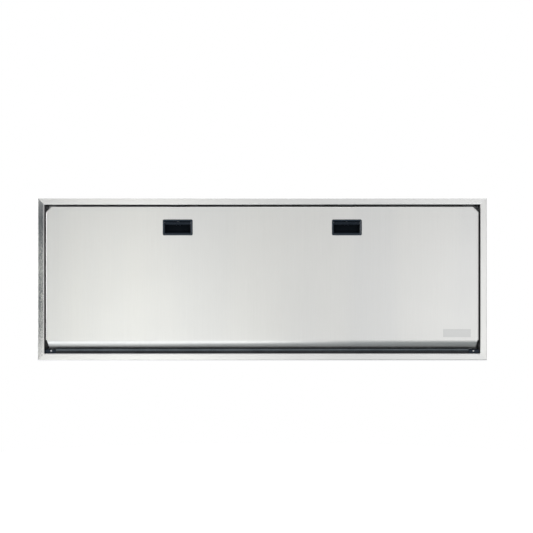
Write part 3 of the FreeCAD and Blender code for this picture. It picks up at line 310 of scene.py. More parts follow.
def blackPlastic(name, gloss, mouth=None):
    fin = Finish(name, moulding)
    fin.hold("Specular IOR Level", gloss)
    fin.hold("Specular Tint", moulding["sheen"])
    if not mouth:
        return fin.finished()
    # hands polish the rim; the well behind it stays dull, and its darker colour is painted shade in the
    # recess
    inside = fin.step(fin.axes()[1], mouth["from"], mouth["to"])
    fin.hold("Coat Roughness", mouth["polishRoughness"])
    fin.surface(coat_weight=mouth["polish"] * (1 - inside))
    return fin.finished(
        tint=fin.mix(inside, mouth["rim"], mouth["well"]),
        rough=fin.rough() + mouth["dulled"] * inside,
    )


bedPlastic = {
    "layers": {
        "pebble": {"scale": 420.0, "cells": "SMOOTH_F1"},
        "cloud": {"scale": 9.0, "detail": 4.0, "rough": 0.60},
        "specks": {"scale": 640.0, "detail": 1.0},
        "scuffs": {"scale": (14.0, 240.0, 110.0), "detail": 3.0, "rough": 0.65},
    },
    "colour": (0.52, 0.53, 0.545),
    "patches": [
        ("cloud", 0.30, 0.72, 1.0, (0.60, 0.61, 0.62)),
        ("specks", 0.64, 0.72, 0.55, (0.36, 0.37, 0.39)),
        ("scuffs", 0.62, 0.78, 0.25, (0.52, 0.53, 0.545)),
    ],
    "roughness": 0.50, "dull": {"cloud": 0.16}, "rubbed": [("scuffs", 0.60, 0.80, -0.14)],
    "relief": {"pebble": 1.0, "specks": 0.25}, "depth": 0.00035, "strength": 0.45,
}
rubber = {
    "layers": {
        "fine": {"scale": 1500.0, "detail": 3.0, "rough": 0.60},
        "bloom": {"scale": 60.0, "detail": 4.0, "rough": 0.60},
    },
    "colour": (0.022, 0.022, 0.023), "patches": [("bloom", 0.40, 0.75, 1.0, (0.060, 0.060, 0.061))],
    "shade": {"fine": 0.4}, "roughness": 0.78, "dull": {"bloom": 0.2},
    "relief": {"fine": 1.0}, "depth": 0.0001, "strength": 0.5,
}
paint = {
    "layers": {
        "peel": {"scale": 480.0},
        "rubs": {"scale": 300.0, "along": 16.0, "detail": 3.0, "rough": 0.62},
    },
    "colour": (0.018, 0.018, 0.019), "patches": [("rubs", 0.60, 0.78, 1.0, (0.055, 0.055, 0.057))],
    "shade": {"peel": 0.2},
    "roughness": 0.34, "dull": {"peel": 0.15}, "rubbed": [("rubs", 0.58, 0.80, 0.2)],
    "relief": {"peel": 1.0}, "depth": 0.00012, "strength": 0.35,
}
chrome = {
    "layers": {
        "rings": {"scale": 60.0, "along": 2200.0},
        "film": {"scale": 40.0, "along": 12.0, "detail": 3.0, "rough": 0.60},
    },
    "colour": (0.66, 0.67, 0.70), "patches": [("film", 0.35, 0.70, 1.0, (0.74, 0.745, 0.75))],
    "shade": {"rings": 0.12}, "roughness": 0.11, "dull": {"film": 0.10, "rings": 0.08}, "metallic": 1.0,
    "relief": {"rings": 1.0}, "depth": 0.00001, "strength": 0.3,
}


def dress(finish, *names):
    for name in names:
        node = nodes[name]
        node.data.materials.clear()
        node.data.materials.append(finish)


def eachSide(*stems):
    return [f"{stem}_{side}" for stem in stems for side in sides]


front = {  # finish, grain, roughness, lightness and roll; the lightness is painted light and shade
    "door_skin": ("brushedDoor", "z", 0.36, 1.0, doorRoll),
    # the left post is painted darker, the right post, head and sill painted lighter than the door
    "frame_left_bar": ("brushedPostLeft", "z", 0.11, 0.89),
    "frame_right_bar": ("brushedPostRight", "z", 0.36, 1.07),
    "frame_top_bar": ("brushedHead", "x", 0.30, 1.11),
    "frame_bottom_bar": ("brushedSill", "x", 0.36, 1.04),
}
boxPanels = ("back_panel", "top_panel", "bottom_panel", "left_wall", "right_wall")
latchMetal = ("paddle_pin", "latch_bolt", "bolt_clip", "bolt_spring")

for name, values in front.items():
    dress(brushedSteel(*values), name)
dress(sheetSteel("boxSheet"), *[f"cabinet_{panel}" for panel in boxPanels])
dress(plainSteel("tubeSteel", "mill"), "bed_top_rail", "bed_bottom_rail", "bed_hinge_tube")
dress(plainSteel("postSteel", "mill", "z"), "bed_left_rail", "bed_right_rail", "bed_ribs")
zinc = plainSteel("zincPlate", "zinc")
dress(zinc, "hinge_fixed_screws", "hinge_moving_screws", "strap_anchors", "strap_anchor_screws")
dress(zinc, *eachSide("strut_anchor", "strut_bracket", *latchMetal))
# the hinge, and the blackened rail, strike plates and screws, are dark partly as painted shade for the
# door's gaps
dress(plainSteel("hingeSteel", "hinge"), "hinge_fixed_leaf", "hinge_moving_leaf", "hinge_pin")
blackened = plainSteel("blackenedSteel", "blackened")
dress(blackened, "hinge_rail", *eachSide("strike_plate", "strike_screws"))
blackMoulding = blackPlastic("blackMoulding", moulding["gloss"])
dress(blackMoulding, *eachSide("latch_paddle"), "buckle_sockets", "buckle_tongues")
dress(blackPlastic("cupMoulding", cupMouth["gloss"], cupMouth), *eachSide("latch_cup"))
dress(Finish("bedLiner", bedPlastic).finished(), "bed_liner")
postRubber = Finish("rubberPost", rubber).finished()
dress(postRubber, "bumper_posts")
cylinderPaint = Finish("strutPaint", paint, "z").finished()
dress(cylinderPaint, *eachSide("strut_cylinder"))
dress(Finish("polishedRod", chrome, "z").finished(), *eachSide("strut_rod"))
print("steel, plastic and rubber finishes set")


weldDistance = 0.000001
sameLine = 0.00001  # points this near lie on one line
squareOn = 0.99  # least share of a normal along an axis for a face that looks along it
upright = (math.radians(90), 0, 0)
hardAngle, smoothAngle, roundAngle = 50.0, 40.0, 60.0


def start(add, name, **settings):  # a new primitive, alone in the selection
    bpy.ops.object.select_all(action="DESELECT")
    add(**settings)
    piece = bpy.context.object
    piece.name = name
    return piece


def settle(piece, scale=(1.0, 1.0, 1.0)):  # its place, turn and scale go into the mesh
    piece.scale = scale
    bpy.ops.object.transform_apply(location=True, rotation=True, scale=True)


def press(piece, *modifiers):  # add and apply modifiers in turn
    bpy.ops.object.select_all(action="DESELECT")
    piece.select_set(True)
    bpy.context.view_layer.objects.active = piece
    for kind, settings in modifiers:
        modifier = piece.modifiers.new(kind.lower(), kind)
        for name, value in settings.items():
            setattr(modifier, name, value)
        bpy.ops.object.modifier_apply(modifier=modifier.name)


def wall(thick):  # a sheet's thickness, half to each side
    return "SOLIDIFY", {"thickness": thick, "offset": 0.0}


def softEdges(width, segments=2):  # only edges sharper than the hard angle
    limit = {"limit_method": "ANGLE", "angle_limit": math.radians(hardAngle)}
    return "BEVEL", {"width": width, "segments": segments, **limit}


def choose(piece, kind, test):  # edit mode with only the verts, edges or faces that pass the test
    bpy.context.view_layer.objects.active = piece
    bpy.ops.object.mode_set(mode="EDIT")
    bpy.ops.mesh.select_mode(type={"verts": "VERT", "edges": "EDGE", "faces": "FACE"}[kind])
    bpy.ops.mesh.select_all(action="DESELECT")
    mesh = bmesh.from_edit_mesh(piece.data)
    for part in getattr(mesh, kind):
        if test(part):
            part.select_set(True)
    mesh.select_flush_mode()
    bmesh.update_edit_mesh(piece.data)


def close(piece, smooth=smoothAngle):  # a clean mesh in object mode whose flat faces look flat
    bpy.context.view_layer.objects.active = piece
    bpy.ops.object.mode_set(mode="EDIT")
    bpy.ops.mesh.select_all(action="SELECT")
    bpy.ops.mesh.remove_doubles(threshold=weldDistance)
    bpy.ops.mesh.normals_make_consistent(inside=False)
    bpy.ops.object.mode_set(mode="OBJECT")
    bpy.ops.object.shade_smooth_by_angle(angle=math.radians(smooth))
    press(piece, ("WEIGHTED_NORMAL", {"keep_sharp": True}))


def merge(name, pieces):  # one object from many
    bpy.context.view_layer.update()
    bpy.ops.object.select_all(action="DESELECT")
    for piece in pieces:
        piece.select_set(True)
    bpy.context.view_layer.objects.active = pieces[0]
    if len(pieces) > 1:
        bpy.ops.object.join()
    bpy.ops.object.transform_apply(location=True, rotation=True, scale=True)
    joined = bpy.context.object
    joined.name = name
    return joined


def twin(piece, place, turn=(0.0, 0.0, 0.0)):  # a copy with a mesh of its own
    copy = piece.copy()
    copy.data = piece.data.copy()
    bpy.context.collection.objects.link(copy)
    copy.location, copy.rotation_euler = place, turn
    return copy


def fit(piece, finish, body, slot, *replaced):
    piece.data.materials.clear()
    piece.data.materials.append(finish)
    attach(piece, body)
    if replaced:
        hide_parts(*replaced)


weave = {
    "layers": {
        "fuzz": {"scale": 3200.0, "along": 900.0, "detail": 2.0, "rough": 0.60},
        "worn": {"scale": 26.0, "along": 14.0, "detail": 4.0, "rough": 0.60},
    },
    "pitch": 0.0012, "yarn": 0.00085, "zigzag": 0.0055, "slope": 0.55, "rib": 0.0025,
    "twillShare": 0.62, "yarnShare": 0.38, "ribShare": 0.45,
    # hollow is painted shade in the weave's hollows and thread the painted highlight on its raised
    # yarns
    "hollow": (0.010, 0.012, 0.016), "thread": (0.060, 0.065, 0.076),
    "fuzzy": {"fuzz": 0.35}, "threadEdges": (0.30, 1.30),
    "patches": [("worn", 0.55, 0.80, 0.5, (0.085, 0.090, 0.098))],
    "roughness": 0.74, "dull": {"fuzz": 0.2}, "sheen": 0.25, "gloss": 0.3,
    "relief": {"fuzz": 0.25}, "depth": 0.00022, "strength": 0.8,
}


def strapWebbing(name):  # a ribbed twill that runs along z
    fin = Finish(name, weave, "z")
    x, _, z = fin.axes()
    slant = z + weave["slope"] * x.zigzag(weave["zigzag"])
    twill = 0.5 + 0.5 * (slant * (2 * math.pi / weave["pitch"])).sine()
    yarns = abs((x * (math.pi / weave["yarn"])).sine())
    ribs = abs((x * (math.pi / (2 * weave["rib"]))).sine())
    height = weave["twillShare"] * twill + weave["yarnShare"] * yarns + weave["ribShare"] * ribs
    # painted shade in the hollows and painted highlight on the raised yarns, by the weave's height
    paintedShadeByHeight = fin.step(fin.varied(height, weave["fuzzy"]), *weave["threadEdges"])
    fin.hold("Sheen Weight", weave["sheen"])
    fin.hold("Specular IOR Level", weave["gloss"])
    woven = fin.mix(paintedShadeByHeight, weave["hollow"], weave["thread"])
    return fin.finished(tint=fin.tint(woven), height=height + fin.height())


thread = {
    "layers": {
        "strands": {"scale": 4200.0, "detail": 2.0, "rough": 0.60},
        "worn": {"scale": 120.0},
    },
    "dark": (0.23, 0.24, 0.25), "pale": (0.46, 0.47, 0.48), "shade": {"worn": 0.4},
    "roughness": 0.6, "dull": {"strands": 0.2},
    "relief": {"strands": 1.0}, "depth": 0.0001, "strength": 0.6,
}


def sewingThread(name):
    fin = Finish(name, thread)
    return fin.finished(tint=fin.mix(fin.layers["strands"], thread["dark"], thread["pale"]))


webbing = {
    "centres": {"left": -0.420, "right": 0.420}, "width": 0.050, "thick": 0.0017, "rounded": 0.0006,
    "low": -0.0633, "high": -0.0615, "bridge": -0.0576,  # heights of the layers, into the bed's well
    "climb": ((0.3, 0.2), (0.6, 0.7), (1.0, 1.0)),  # shares along and up, onto the anchor's bar
    "slack": 0.0014, "slackSteps": 12, "turnSteps": 6,
    "lower": {
        "end": -0.112, "rise": -0.150, "over": -0.1575,
        "wrap": -0.1845, "fold": -0.0250, "tail": -0.074,
    },
    "upper": {
        "end": 0.160, "rise": 0.196, "over": 0.2035,
        "wrap": 0.2305, "fold": 0.0550, "tail": 0.106,
    },
    "slideHump": [
        (-0.0611, 0.110), (-0.0600, 0.1145), (-0.0592, 0.119), (-0.0600, 0.1235), (-0.0611, 0.128),
    ],
    "freeTail": [(-0.0615, 0.133), (-0.0613, 0.140), (-0.0608, 0.147), (-0.0600, 0.153)],
}


def halfTurn(y, z, radius, outward):  # from the upper layer round to the lower, or back
    steps = webbing["turnSteps"]
    spots = [math.pi * (i / steps - 0.5) for i in range(steps + 1)]
    return [(y - radius * math.sin(a), z + outward * abs(radius) * math.cos(a)) for a in spots]


def strapPath(run):  # from the sewn loop over the anchor's bar, under it, and along to the buckle
    low, high, bridge = webbing["low"], webbing["high"], webbing["bridge"]
    outward = 1 if run["wrap"] > run["rise"] else -1
    path = [(high, run["end"]), (high, run["rise"])]
    for along, up in webbing["climb"]:
        path.append((high + (bridge - high) * up, run["rise"] + (run["over"] - run["rise"]) * along))
    path += halfTurn((bridge + low) / 2, run["wrap"], (bridge - low) / 2, outward)
    middle, reach = (run["wrap"] + run["fold"]) / 2, (run["fold"] - run["wrap"]) / 2
    for i in range(1, webbing["slackSteps"]):  # the free length, a little slack
        share = 2 * i / webbing["slackSteps"] - 1
        path.append((low + webbing["slack"] * (1 - share ** 2) ** 2, middle + share * reach))
    path += halfTurn((high + low) / 2, run["fold"], (low - high) / 2, -outward)
    return path + [(high, run["tail"])]


def strapStrip(name, across, path):
    (y, first), (_, second) = path[:2]
    place = (across, y, (first + second) / 2)
    strip = start(bpy.ops.mesh.primitive_plane_add, name, size=1.0, location=place, rotation=upright)
    settle(strip, (webbing["width"], abs(second - first), 1.0))
    choose(strip, "edges", lambda edge: all(abs(v.co.z - second) < sameLine for v in edge.verts))
    for here, there in zip(path[1:], path[2:]):
        move = (0, there[0] - here[0], there[1] - here[1])
        bpy.ops.mesh.extrude_edges_move(TRANSFORM_OT_translate={"value": move})
    bpy.ops.mesh.select_all(action="SELECT")
    bpy.ops.mesh.normals_make_consistent(inside=False)
    bpy.ops.object.mode_set(mode="OBJECT")
    press(strip, wall(webbing["thick"]), softEdges(webbing["rounded"]))
    close(strip)
    return strip


slide = {
    "wide": 0.064, "tall": 0.026, "rim": 0.0045, "thick": 0.0028, "place": (-0.0593, 0.119),
    "corner": 0.004, "cornerSteps": 5, "round": 0.0009, "roundSteps": 3,
}


def strapSlide(name, across):  # the frame that the adjustable strap runs through
    place = (across, *slide["place"])
    ring = start(bpy.ops.mesh.primitive_plane_add, name, size=1.0, location=place, rotation=upright)
    settle(ring, (slide["wide"], slide["tall"], 1.0))
    choose(ring, "verts", lambda vert: True)
    bpy.ops.mesh.bevel(offset=slide["corner"], segments=slide["cornerSteps"], affect="VERTICES")
    bpy.ops.mesh.select_mode(type="FACE")
    bpy.ops.mesh.select_all(action="SELECT")
    bpy.ops.mesh.inset(thickness=slide["rim"])
    bpy.ops.mesh.delete(type="FACE")
    bpy.ops.object.mode_set(mode="OBJECT")
    press(ring, wall(slide["thick"]), softEdges(slide["round"], slide["roundSteps"]))
    close(ring)
    return ring


sewing = {
    "thread": 0.00045, "long": 0.0027, "corners": 6, "nip": 0.5, "crown": 1.14, "pitch": 0.0034,
    "height": -0.0606, "halfWide": 0.0195, "hem": (0.1485, -0.0597),
    "boxes": [(-0.132, 0.0145), (-0.051, 0.0165), (0.1785, 0.0130)],  # middle and half length of each
}


def oneStitch():  # a short thread along x with pinched ends
    shape = {"vertices": sewing["corners"], "radius": sewing["thread"], "depth": sewing["long"]}
    lying = (0, math.radians(90), 0)
    stitch = start(bpy.ops.mesh.primitive_cylinder_add, "stitch", rotation=lying, **shape)
    settle(stitch)
    choose(stitch, "faces", lambda face: abs(face.normal.x) > squareOn)
    bpy.ops.mesh.inset(thickness=sewing["thread"] * sewing["nip"])
    bpy.ops.transform.resize(value=(sewing["crown"], 1, 1), center_override=(0, 0, 0))
    close(stitch, roundAngle)
    return stitch


def sewnRow(stitch, begin, end, height):
    run = Vector((end[0] - begin[0], 0, end[1] - begin[1]))
    count = round(run.length / sewing["pitch"])
    row = twin(stitch, (0, 0, 0))
    spacing = (run.length / count, 0, 0)
    settings = {"use_relative_offset": False, "use_constant_offset": True, "count": count}
    press(row, ("ARRAY", {**settings, "constant_offset_displace": spacing}))
    row.rotation_euler = (0, -math.atan2(run.z, run.x), 0)
    row.location = Vector((begin[0], height, begin[1])) + run / count / 2
    return row


def sewnBoxes(name, stitch, across):  # crossed boxes where the layers are sewn, and a hem
    rows = []
    left, right = across - sewing["halfWide"], across + sewing["halfWide"]
    for middle, half in sewing["boxes"]:
        low, high = middle - half, middle + half
        corners = [(left, low), (right, low), (right, high), (left, high)]
        ends = [(corners[i], corners[i - 3]) for i in range(4)]
        ends += [(corners[0], corners[2]), (corners[1], corners[3])]
        rows += [sewnRow(stitch, begin, end, sewing["height"]) for begin, end in ends]
    hemZ, hemY = sewing["hem"]
    rows.append(sewnRow(stitch, (left, hemZ), (right, hemZ), hemY))
    return merge(name, rows)


def makeStraps():
    cloth, sewn = strapWebbing("strapWebbing"), sewingThread("sewingThread")
    stitch = oneStitch()
    for side, across in webbing["centres"].items():
        lower = strapStrip(f"strapLower_{side}", across, strapPath(webbing["lower"]))
        upperPath = strapPath(webbing["upper"]) + webbing["slideHump"] + webbing["freeTail"]
        upper = strapStrip(f"strapUpper_{side}", across, upperPath)
        for strip in (lower, upper):
            fit(strip, cloth, "bed", "webbing", f"strap_{side}")
        fit(strapSlide(f"strapSlide_{side}", across), blackMoulding, "bed", "black_plastic")
        fit(sewnBoxes(f"strapSewing_{side}", stitch, across), sewn, "bed", "webbing")
    bpy.data.objects.remove(stitch)
    print("straps, slides and sewing made")


makeStraps()


screw = {
    "corners": 28, "dome": 0.55, "domeSteps": 4, "smooth": 35.0,
    "recess": 0.52, "slot": 0.17, "deep": 0.5,  # shares of the head's radius and height
}


def crossArm(radius, high, turn):  # the cutter for one arm of a screw's cross recess
    place, turned = (0, 0, high), (0, 0, turn)
    arm = start(bpy.ops.mesh.primitive_cube_add, "crossArm", size=1.0, location=place, rotation=turned)
    settle(arm, (2 * radius * screw["recess"], 2 * radius * screw["slot"], 2 * high * screw["deep"]))
    return arm


def panHead(radius, high):  # a domed screw head standing on z = 0 with a cross recess
    shape = {"vertices": screw["corners"], "radius": radius, "depth": high}
    head = start(bpy.ops.mesh.primitive_cylinder_add, "panHead", location=(0, 0, high / 2), **shape)
    settle(head)
    choose(head, "edges", lambda edge: all(v.co.z > high / 2 for v in edge.verts))
    bpy.ops.mesh.bevel(offset=high * screw["dome"], segments=screw["domeSteps"])
    close(head)
    for turn in (0.0, math.radians(90)):
        arm = crossArm(radius, high, turn)
        press(head, ("BOOLEAN", {"object": arm, "operation": "DIFFERENCE", "solver": "EXACT"}))
        bpy.data.objects.remove(arm)
    close(head, screw["smooth"])
    return head


def screwSet(name, radius, high, places, turn):
    first = panHead(radius, high)
    heads = [twin(first, place, turn) for place in places]
    bpy.data.objects.remove(first)
    return merge(name, heads)


upward, downward, inward = (0, 0, 0), (math.radians(180), 0, 0), (math.radians(-90), 0, 0)
hingeScrews = {"count": 12, "leaf": 0.842, "across": -0.070, "radius": 0.0045, "high": 0.0018}


def makeHingeScrews():
    count, radius, head = hingeScrews["count"], hingeScrews["radius"], hingeScrews["high"]
    spread = [hingeScrews["leaf"] * (2 * i + 1 - count) / count for i in range(count)]
    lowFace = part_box("hinge_fixed_screws")[1][2] - head
    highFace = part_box("hinge_moving_screws")[0][2] + head
    low = [(x, hingeScrews["across"], lowFace) for x in spread]
    high = [(x, hingeScrews["across"], highFace) for x in spread]
    fixedSet = screwSet("hingeScrewsFixed", radius, head, low, upward)
    fit(fixedSet, zinc, "cabinet", "plain_steel", "hinge_fixed_screws")
    movingSet = screwSet("hingeScrewsMoving", radius, head, high, downward)
    fit(movingSet, zinc, "bed", "plain_steel", "hinge_moving_screws")
    print("hinge screws made")


anchorScrews = {
    "ends": (-0.170, 0.216), "reach": 0.0335, "face": -0.0585, "radius": 0.0042, "high": 0.0020,
}


def makeAnchorScrews():
    radius, head, face = anchorScrews["radius"], anchorScrews["high"], anchorScrews["face"]
    spots = [
        (centre + hand * anchorScrews["reach"], face, z)
        for centre in webbing["centres"].values()
        for hand in sides.values()
        for z in anchorScrews["ends"]
    ]
    anchorSet = screwSet("strapAnchorScrews", radius, head, spots, inward)
    fit(anchorSet, zinc, "bed", "plain_steel", "strap_anchor_screws")
    print("strap anchor screws made")


strikeScrews = {
    "centre": 0.3445, "reach": 0.022, "across": -0.090, "face": 0.297, "radius": 0.0048, "high": 0.0012,
}


def makeStrikeScrews():
    radius, head = strikeScrews["radius"], strikeScrews["high"]
    across, face = strikeScrews["across"], strikeScrews["face"]
    for side, sign in sides.items():
        centre = sign * strikeScrews["centre"]
        pair = [(centre + hand * strikeScrews["reach"], across, face) for hand in sides.values()]
        strikeSet = screwSet(f"strikeScrews_{side}", radius, head, pair, downward)
        fit(strikeSet, blackened, "cabinet", "plain_steel", f"strike_screws_{side}")
    print("strike screws made")


makeHingeScrews()
makeAnchorScrews()
makeStrikeScrews()


def roundedBlock(name, low, high, soft, segments=3):  # a block with rolled edges, left in edit mode
    middle = [(a + b) / 2 for a, b in zip(low, high)]
    block = start(bpy.ops.mesh.primitive_cube_add, name, size=1.0, location=middle)
    settle(block, [b - a for a, b in zip(low, high)])
    choose(block, "edges", lambda edge: True)
    bpy.ops.mesh.bevel(offset=soft, segments=segments)
    return block


endBlock = {
    "inner": 0.8424, "outer": 0.8870, "front": -0.1012, "back": -0.0580, "low": -0.3029,
    "high": -0.2872, "soft": 0.0022, "screw": (0.8620, -0.2926), "radius": 0.0034, "head": 0.0018,
}


def makeEndBlocks():  # fillers between the hinge rail and the box walls
    for side, sign in sides.items():
        left, right = sorted((sign * endBlock["inner"], sign * endBlock["outer"]))
        low = (left, endBlock["front"], endBlock["low"])
        high = (right, endBlock["back"], endBlock["high"])
        block = roundedBlock(f"hingeEndBlock_{side}", low, high, endBlock["soft"])
        close(block)
        fit(block, blackMoulding, "cabinet", "black_plastic")
    x, z = endBlock["screw"]
    spots = [(sign * x, endBlock["front"], z) for sign in sides.values()]
    heads = screwSet("endBlockScrews", endBlock["radius"], endBlock["head"], spots, upright)
    fit(heads, zinc, "cabinet", "plain_steel")
    print("hinge end blocks made")


makeEndBlocks()


plate = {
    "centre": (0.7930, -0.2192), "size": (0.1130, 0.0330), "front": -0.11635, "back": -0.11590,
    "soft": 0.00015, "softSteps": 2, "roughness": 0.34, "light": 0.82,
}


def makeBarePlate():  # the thin blank plate at the door's lower right
    x, z = plate["centre"]
    halfX, halfZ = [length / 2 for length in plate["size"]]
    low, high = (x - halfX, plate["front"], z - halfZ), (x + halfX, plate["back"], z + halfZ)
    sheet = roundedBlock("barePlate", low, high, plate["soft"], plate["softSteps"])
    close(sheet)
    steel = brushedSteel("brushedPlate", "x", plate["roughness"], plate["light"])
    fit(sheet, steel, "bed", "brushed_steel")
    print("bare plate made")


makeBarePlate()


def flatRing(hole, rim, thick, soft, corners=40):  # a ring round the z axis, centred on the origin
    ring = start(bpy.ops.mesh.primitive_circle_add, "flatRing", vertices=corners, radius=hole)
    choose(ring, "edges", lambda edge: True)
    bpy.ops.mesh.extrude_edges_move(TRANSFORM_OT_translate={"value": (0, 0, 0)})
    bpy.ops.transform.resize(value=(rim / hole, rim / hole, 1), center_override=(0, 0, 0))
    bpy.ops.object.mode_set(mode="OBJECT")
    press(ring, wall(thick), softEdges(soft))
    close(ring)
    return ring


washer = {
    "columns": (0.2032, 0.6096), "rows": (-0.200, 0.200), "face": -0.0020,
    "ring": {"hole": 0.0062, "rim": 0.0215, "thick": 0.0030, "soft": 0.0007},
}


def makeWashers():  # welded washers that stiffen the box round its wall-bolt holes
    first = flatRing(**washer["ring"])
    depth = washer["face"] - washer["ring"]["thick"] / 2
    spots = [
        (hand * x, depth, z)
        for x in washer["columns"] for hand in sides.values() for z in washer["rows"]
    ]
    rings = [twin(first, spot, upright) for spot in spots]
    bpy.data.objects.remove(first)
    fit(merge("boltWashers", rings), zinc, "cabinet", "plain_steel")
    print("bolt washers made")


makeWashers()


tubeCap = {
    "tubes": ("bed_top_rail", "bed_hinge_tube"), "thick": 0.0026, "overlap": 0.0006, "inset": 0.0010,
    "soft": 0.0011, "rim": 0.004, "hollow": 0.0009,
}


def makeTubeCaps():  # plastic plugs in the open tube ends
    caps = []
    for tube in tubeCap["tubes"]:
        low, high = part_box(tube)
        lowY, lowZ = [value + tubeCap["inset"] for value in low[1:]]
        highY, highZ = [value - tubeCap["inset"] for value in high[1:]]
        for sign in sides.values():
            tip = sign * high[0]
            left, right = sorted((tip - sign * tubeCap["overlap"], tip + sign * tubeCap["thick"]))
            cap = roundedBlock("tubeCap", (left, lowY, lowZ), (right, highY, highZ), tubeCap["soft"])
            bpy.ops.object.mode_set(mode="OBJECT")
            choose(cap, "faces", lambda face: face.normal.x * sign > squareOn)
            bpy.ops.mesh.inset(thickness=tubeCap["rim"], depth=-tubeCap["hollow"])
            close(cap)
            caps.append(cap)
    fit(merge("tubeCaps", caps), blackMoulding, "bed", "black_plastic")
    print("tube caps made")


makeTubeCaps()


buckleRibs = {
    "sunk": 0.0004, "soft": 0.0006, "softSteps": 2,
    "socket": {
        "face": -0.0512, "size": (0.040, 0.0012, 0.0017), "rows": (-0.0155, -0.0115, -0.0075, -0.0035),
    },
    "tongue": {"face": -0.0532, "size": (0.044, 0.0011, 0.0016), "rows": (0.0350, 0.0390, 0.0430)},
}


def makeBuckleRibs():  # thumb grips on the buckle halves
    for side, across in webbing["centres"].items():
        ribs = []
        for half in (buckleRibs["socket"], buckleRibs["tongue"]):
            wide, proud, tall = half["size"]
            for z in half["rows"]:
                low = (across - wide / 2, half["face"] - buckleRibs["sunk"], z - tall / 2)
                high = (across + wide / 2, half["face"] + proud, z + tall / 2)
                rib = roundedBlock("rib", low, high, buckleRibs["soft"], buckleRibs["softSteps"])
                close(rib)
                ribs.append(rib)
        fit(merge(f"buckleRibs_{side}", ribs), blackMoulding, "bed", "black_plastic")
    print("buckle ribs made")


makeBuckleRibs()


strut = {
    "pivot": (-0.031, 0.2555), "foot": (-0.096, -0.2245), "across": 0.868,
    "seal": {"hole": 0.0043, "rim": 0.0082, "thick": 0.0040, "soft": 0.0010}, "sealAt": 0.3318,
    "band": {"hole": 0.0107, "rim": 0.0116, "thick": 0.0030, "soft": 0.0004},
    "bandsAt": (0.024, 0.305, 0.318),
}


def makeStrutRings():  # the wiper seal and rolled bands on each gas strut
    top, foot = Vector((0, *strut["pivot"])), Vector((0, *strut["foot"]))
    down = (foot - top).normalized()
    turn = (-math.atan2(top.y - foot.y, top.z - foot.z), 0, 0)
    seal, band = flatRing(**strut["seal"]), flatRing(**strut["band"])
    for side, sign in sides.items():
        head = top + Vector((sign * strut["across"], 0, 0))
        wiper = merge(f"strutSeal_{side}", [twin(seal, head + strut["sealAt"] * down, turn)])
        fit(wiper, postRubber, f"{side}_cylinder", "rubber")
        bands = [twin(band, head + far * down, turn) for far in strut["bandsAt"]]
        fit(merge(f"strutBands_{side}", bands), cylinderPaint, f"{side}_cylinder", "strut_paint")
    bpy.data.objects.remove(seal)
    bpy.data.objects.remove(band)
    print("strut rings made")


makeStrutRings()


spring = {
    "centre": (0.3445, -0.090), "low": 0.24374, "high": 0.25986, "wire": 0.0008, "wireCorners": 8,
    "coil": 0.0074, "turns": 4, "steps": 22, "pressed": 0.50,
}


def windCoil():  # a coil round the z axis with closed ends, its wire's middle starting at z = 0
    shape = {"vertices": spring["wireCorners"], "radius": spring["wire"]}
    place = (spring["coil"], 0, 0)
    coil = start(bpy.ops.mesh.primitive_circle_add, "coil", location=place, rotation=upright, **shape)
    settle(coil)
    turns, steps = spring["turns"], spring["steps"]
    climb = (spring["high"] - spring["low"] - 2 * spring["wire"]) / turns
    wind = {"screw_offset": climb, "iterations": turns, "steps": steps, "render_steps": steps}
    press(coil, ("SCREW", {**wind, "use_merge_vertices": False}))
    choose(coil, "edges", lambda edge: edge.is_boundary)
    bpy.ops.mesh.fill()
    close(coil, roundAngle)
    return coil


def makeSprings():  # coils on the latch bolts, which ride with the bolts
    across, depth = spring["centre"]
    for side, sign in sides.items():
        coil = windCoil()
        coil.location = (sign * across, depth, spring["low"] + spring["wire"])
        coil = merge(f"boltSpring_{side}", [coil])
        fit(coil, zinc, f"{side}_bolt", "plain_steel", f"bolt_spring_{side}")
        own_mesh(coil)
    print("bolt springs made")


makeSprings()


studio = {"floor": -1.15, "floorRadius": 3.6, "floorCorners": 96, "around": 0.75, "white": 1.0}
plainWhite = (1.0, 1.0, 1.0)
floorLook = {
    "layers": {"mottle": {"scale": 3.0, "detail": 3.0}}, "colour": (0.282, 0.318, 0.330),
    "shade": {"mottle": 0.04}, "roughness": 0.75, "dull": {"mottle": 0.1},
    "glow": 0.79, "mirrored": 0.03,
}


def paleFloor():  # it glows white to the camera and through glass, and hardly at all in mirrors
    disc = {"vertices": studio["floorCorners"], "radius": studio["floorRadius"], "fill_type": "NGON"}
    place = (0, 0, studio["floor"])
    floor = start(bpy.ops.mesh.primitive_circle_add, "paleFloor", location=place, **disc)
    fin = Finish("paleFloor", floorLook)
    rays = fin.parts("ShaderNodeLightPath")
    seen = rays["Is Camera Ray"] + rays["Is Transmission Ray"]
    shown = seen + floorLook["mirrored"] * rays["Is Glossy Ray"]
    fin.surface(emission_color=fin.lit(plainWhite, shown), emission_strength=floorLook["glow"])
    floor.data.materials.append(fin.finished())


def paleWorld():  # white to the camera, in mirrors and through glass, softer as a light
    world = bpy.data.worlds.new("paleWorld")
    world.use_nodes = True
    world.node_tree.nodes.clear()
    bpy.context.scene.world = world
    shading = Shading(world.node_tree)
    rays = shading.parts("ShaderNodeLightPath")
    seen = rays["Is Camera Ray"] + rays["Is Glossy Ray"] + rays["Is Transmission Ray"]
    level = studio["around"] + (studio["white"] - studio["around"]) * seen.least(1.0)
    sky = shading.node("ShaderNodeBackground", None, {"Color": plainWhite, "Strength": level})
    shading.node("ShaderNodeOutputWorld", None, {"Surface": sky})


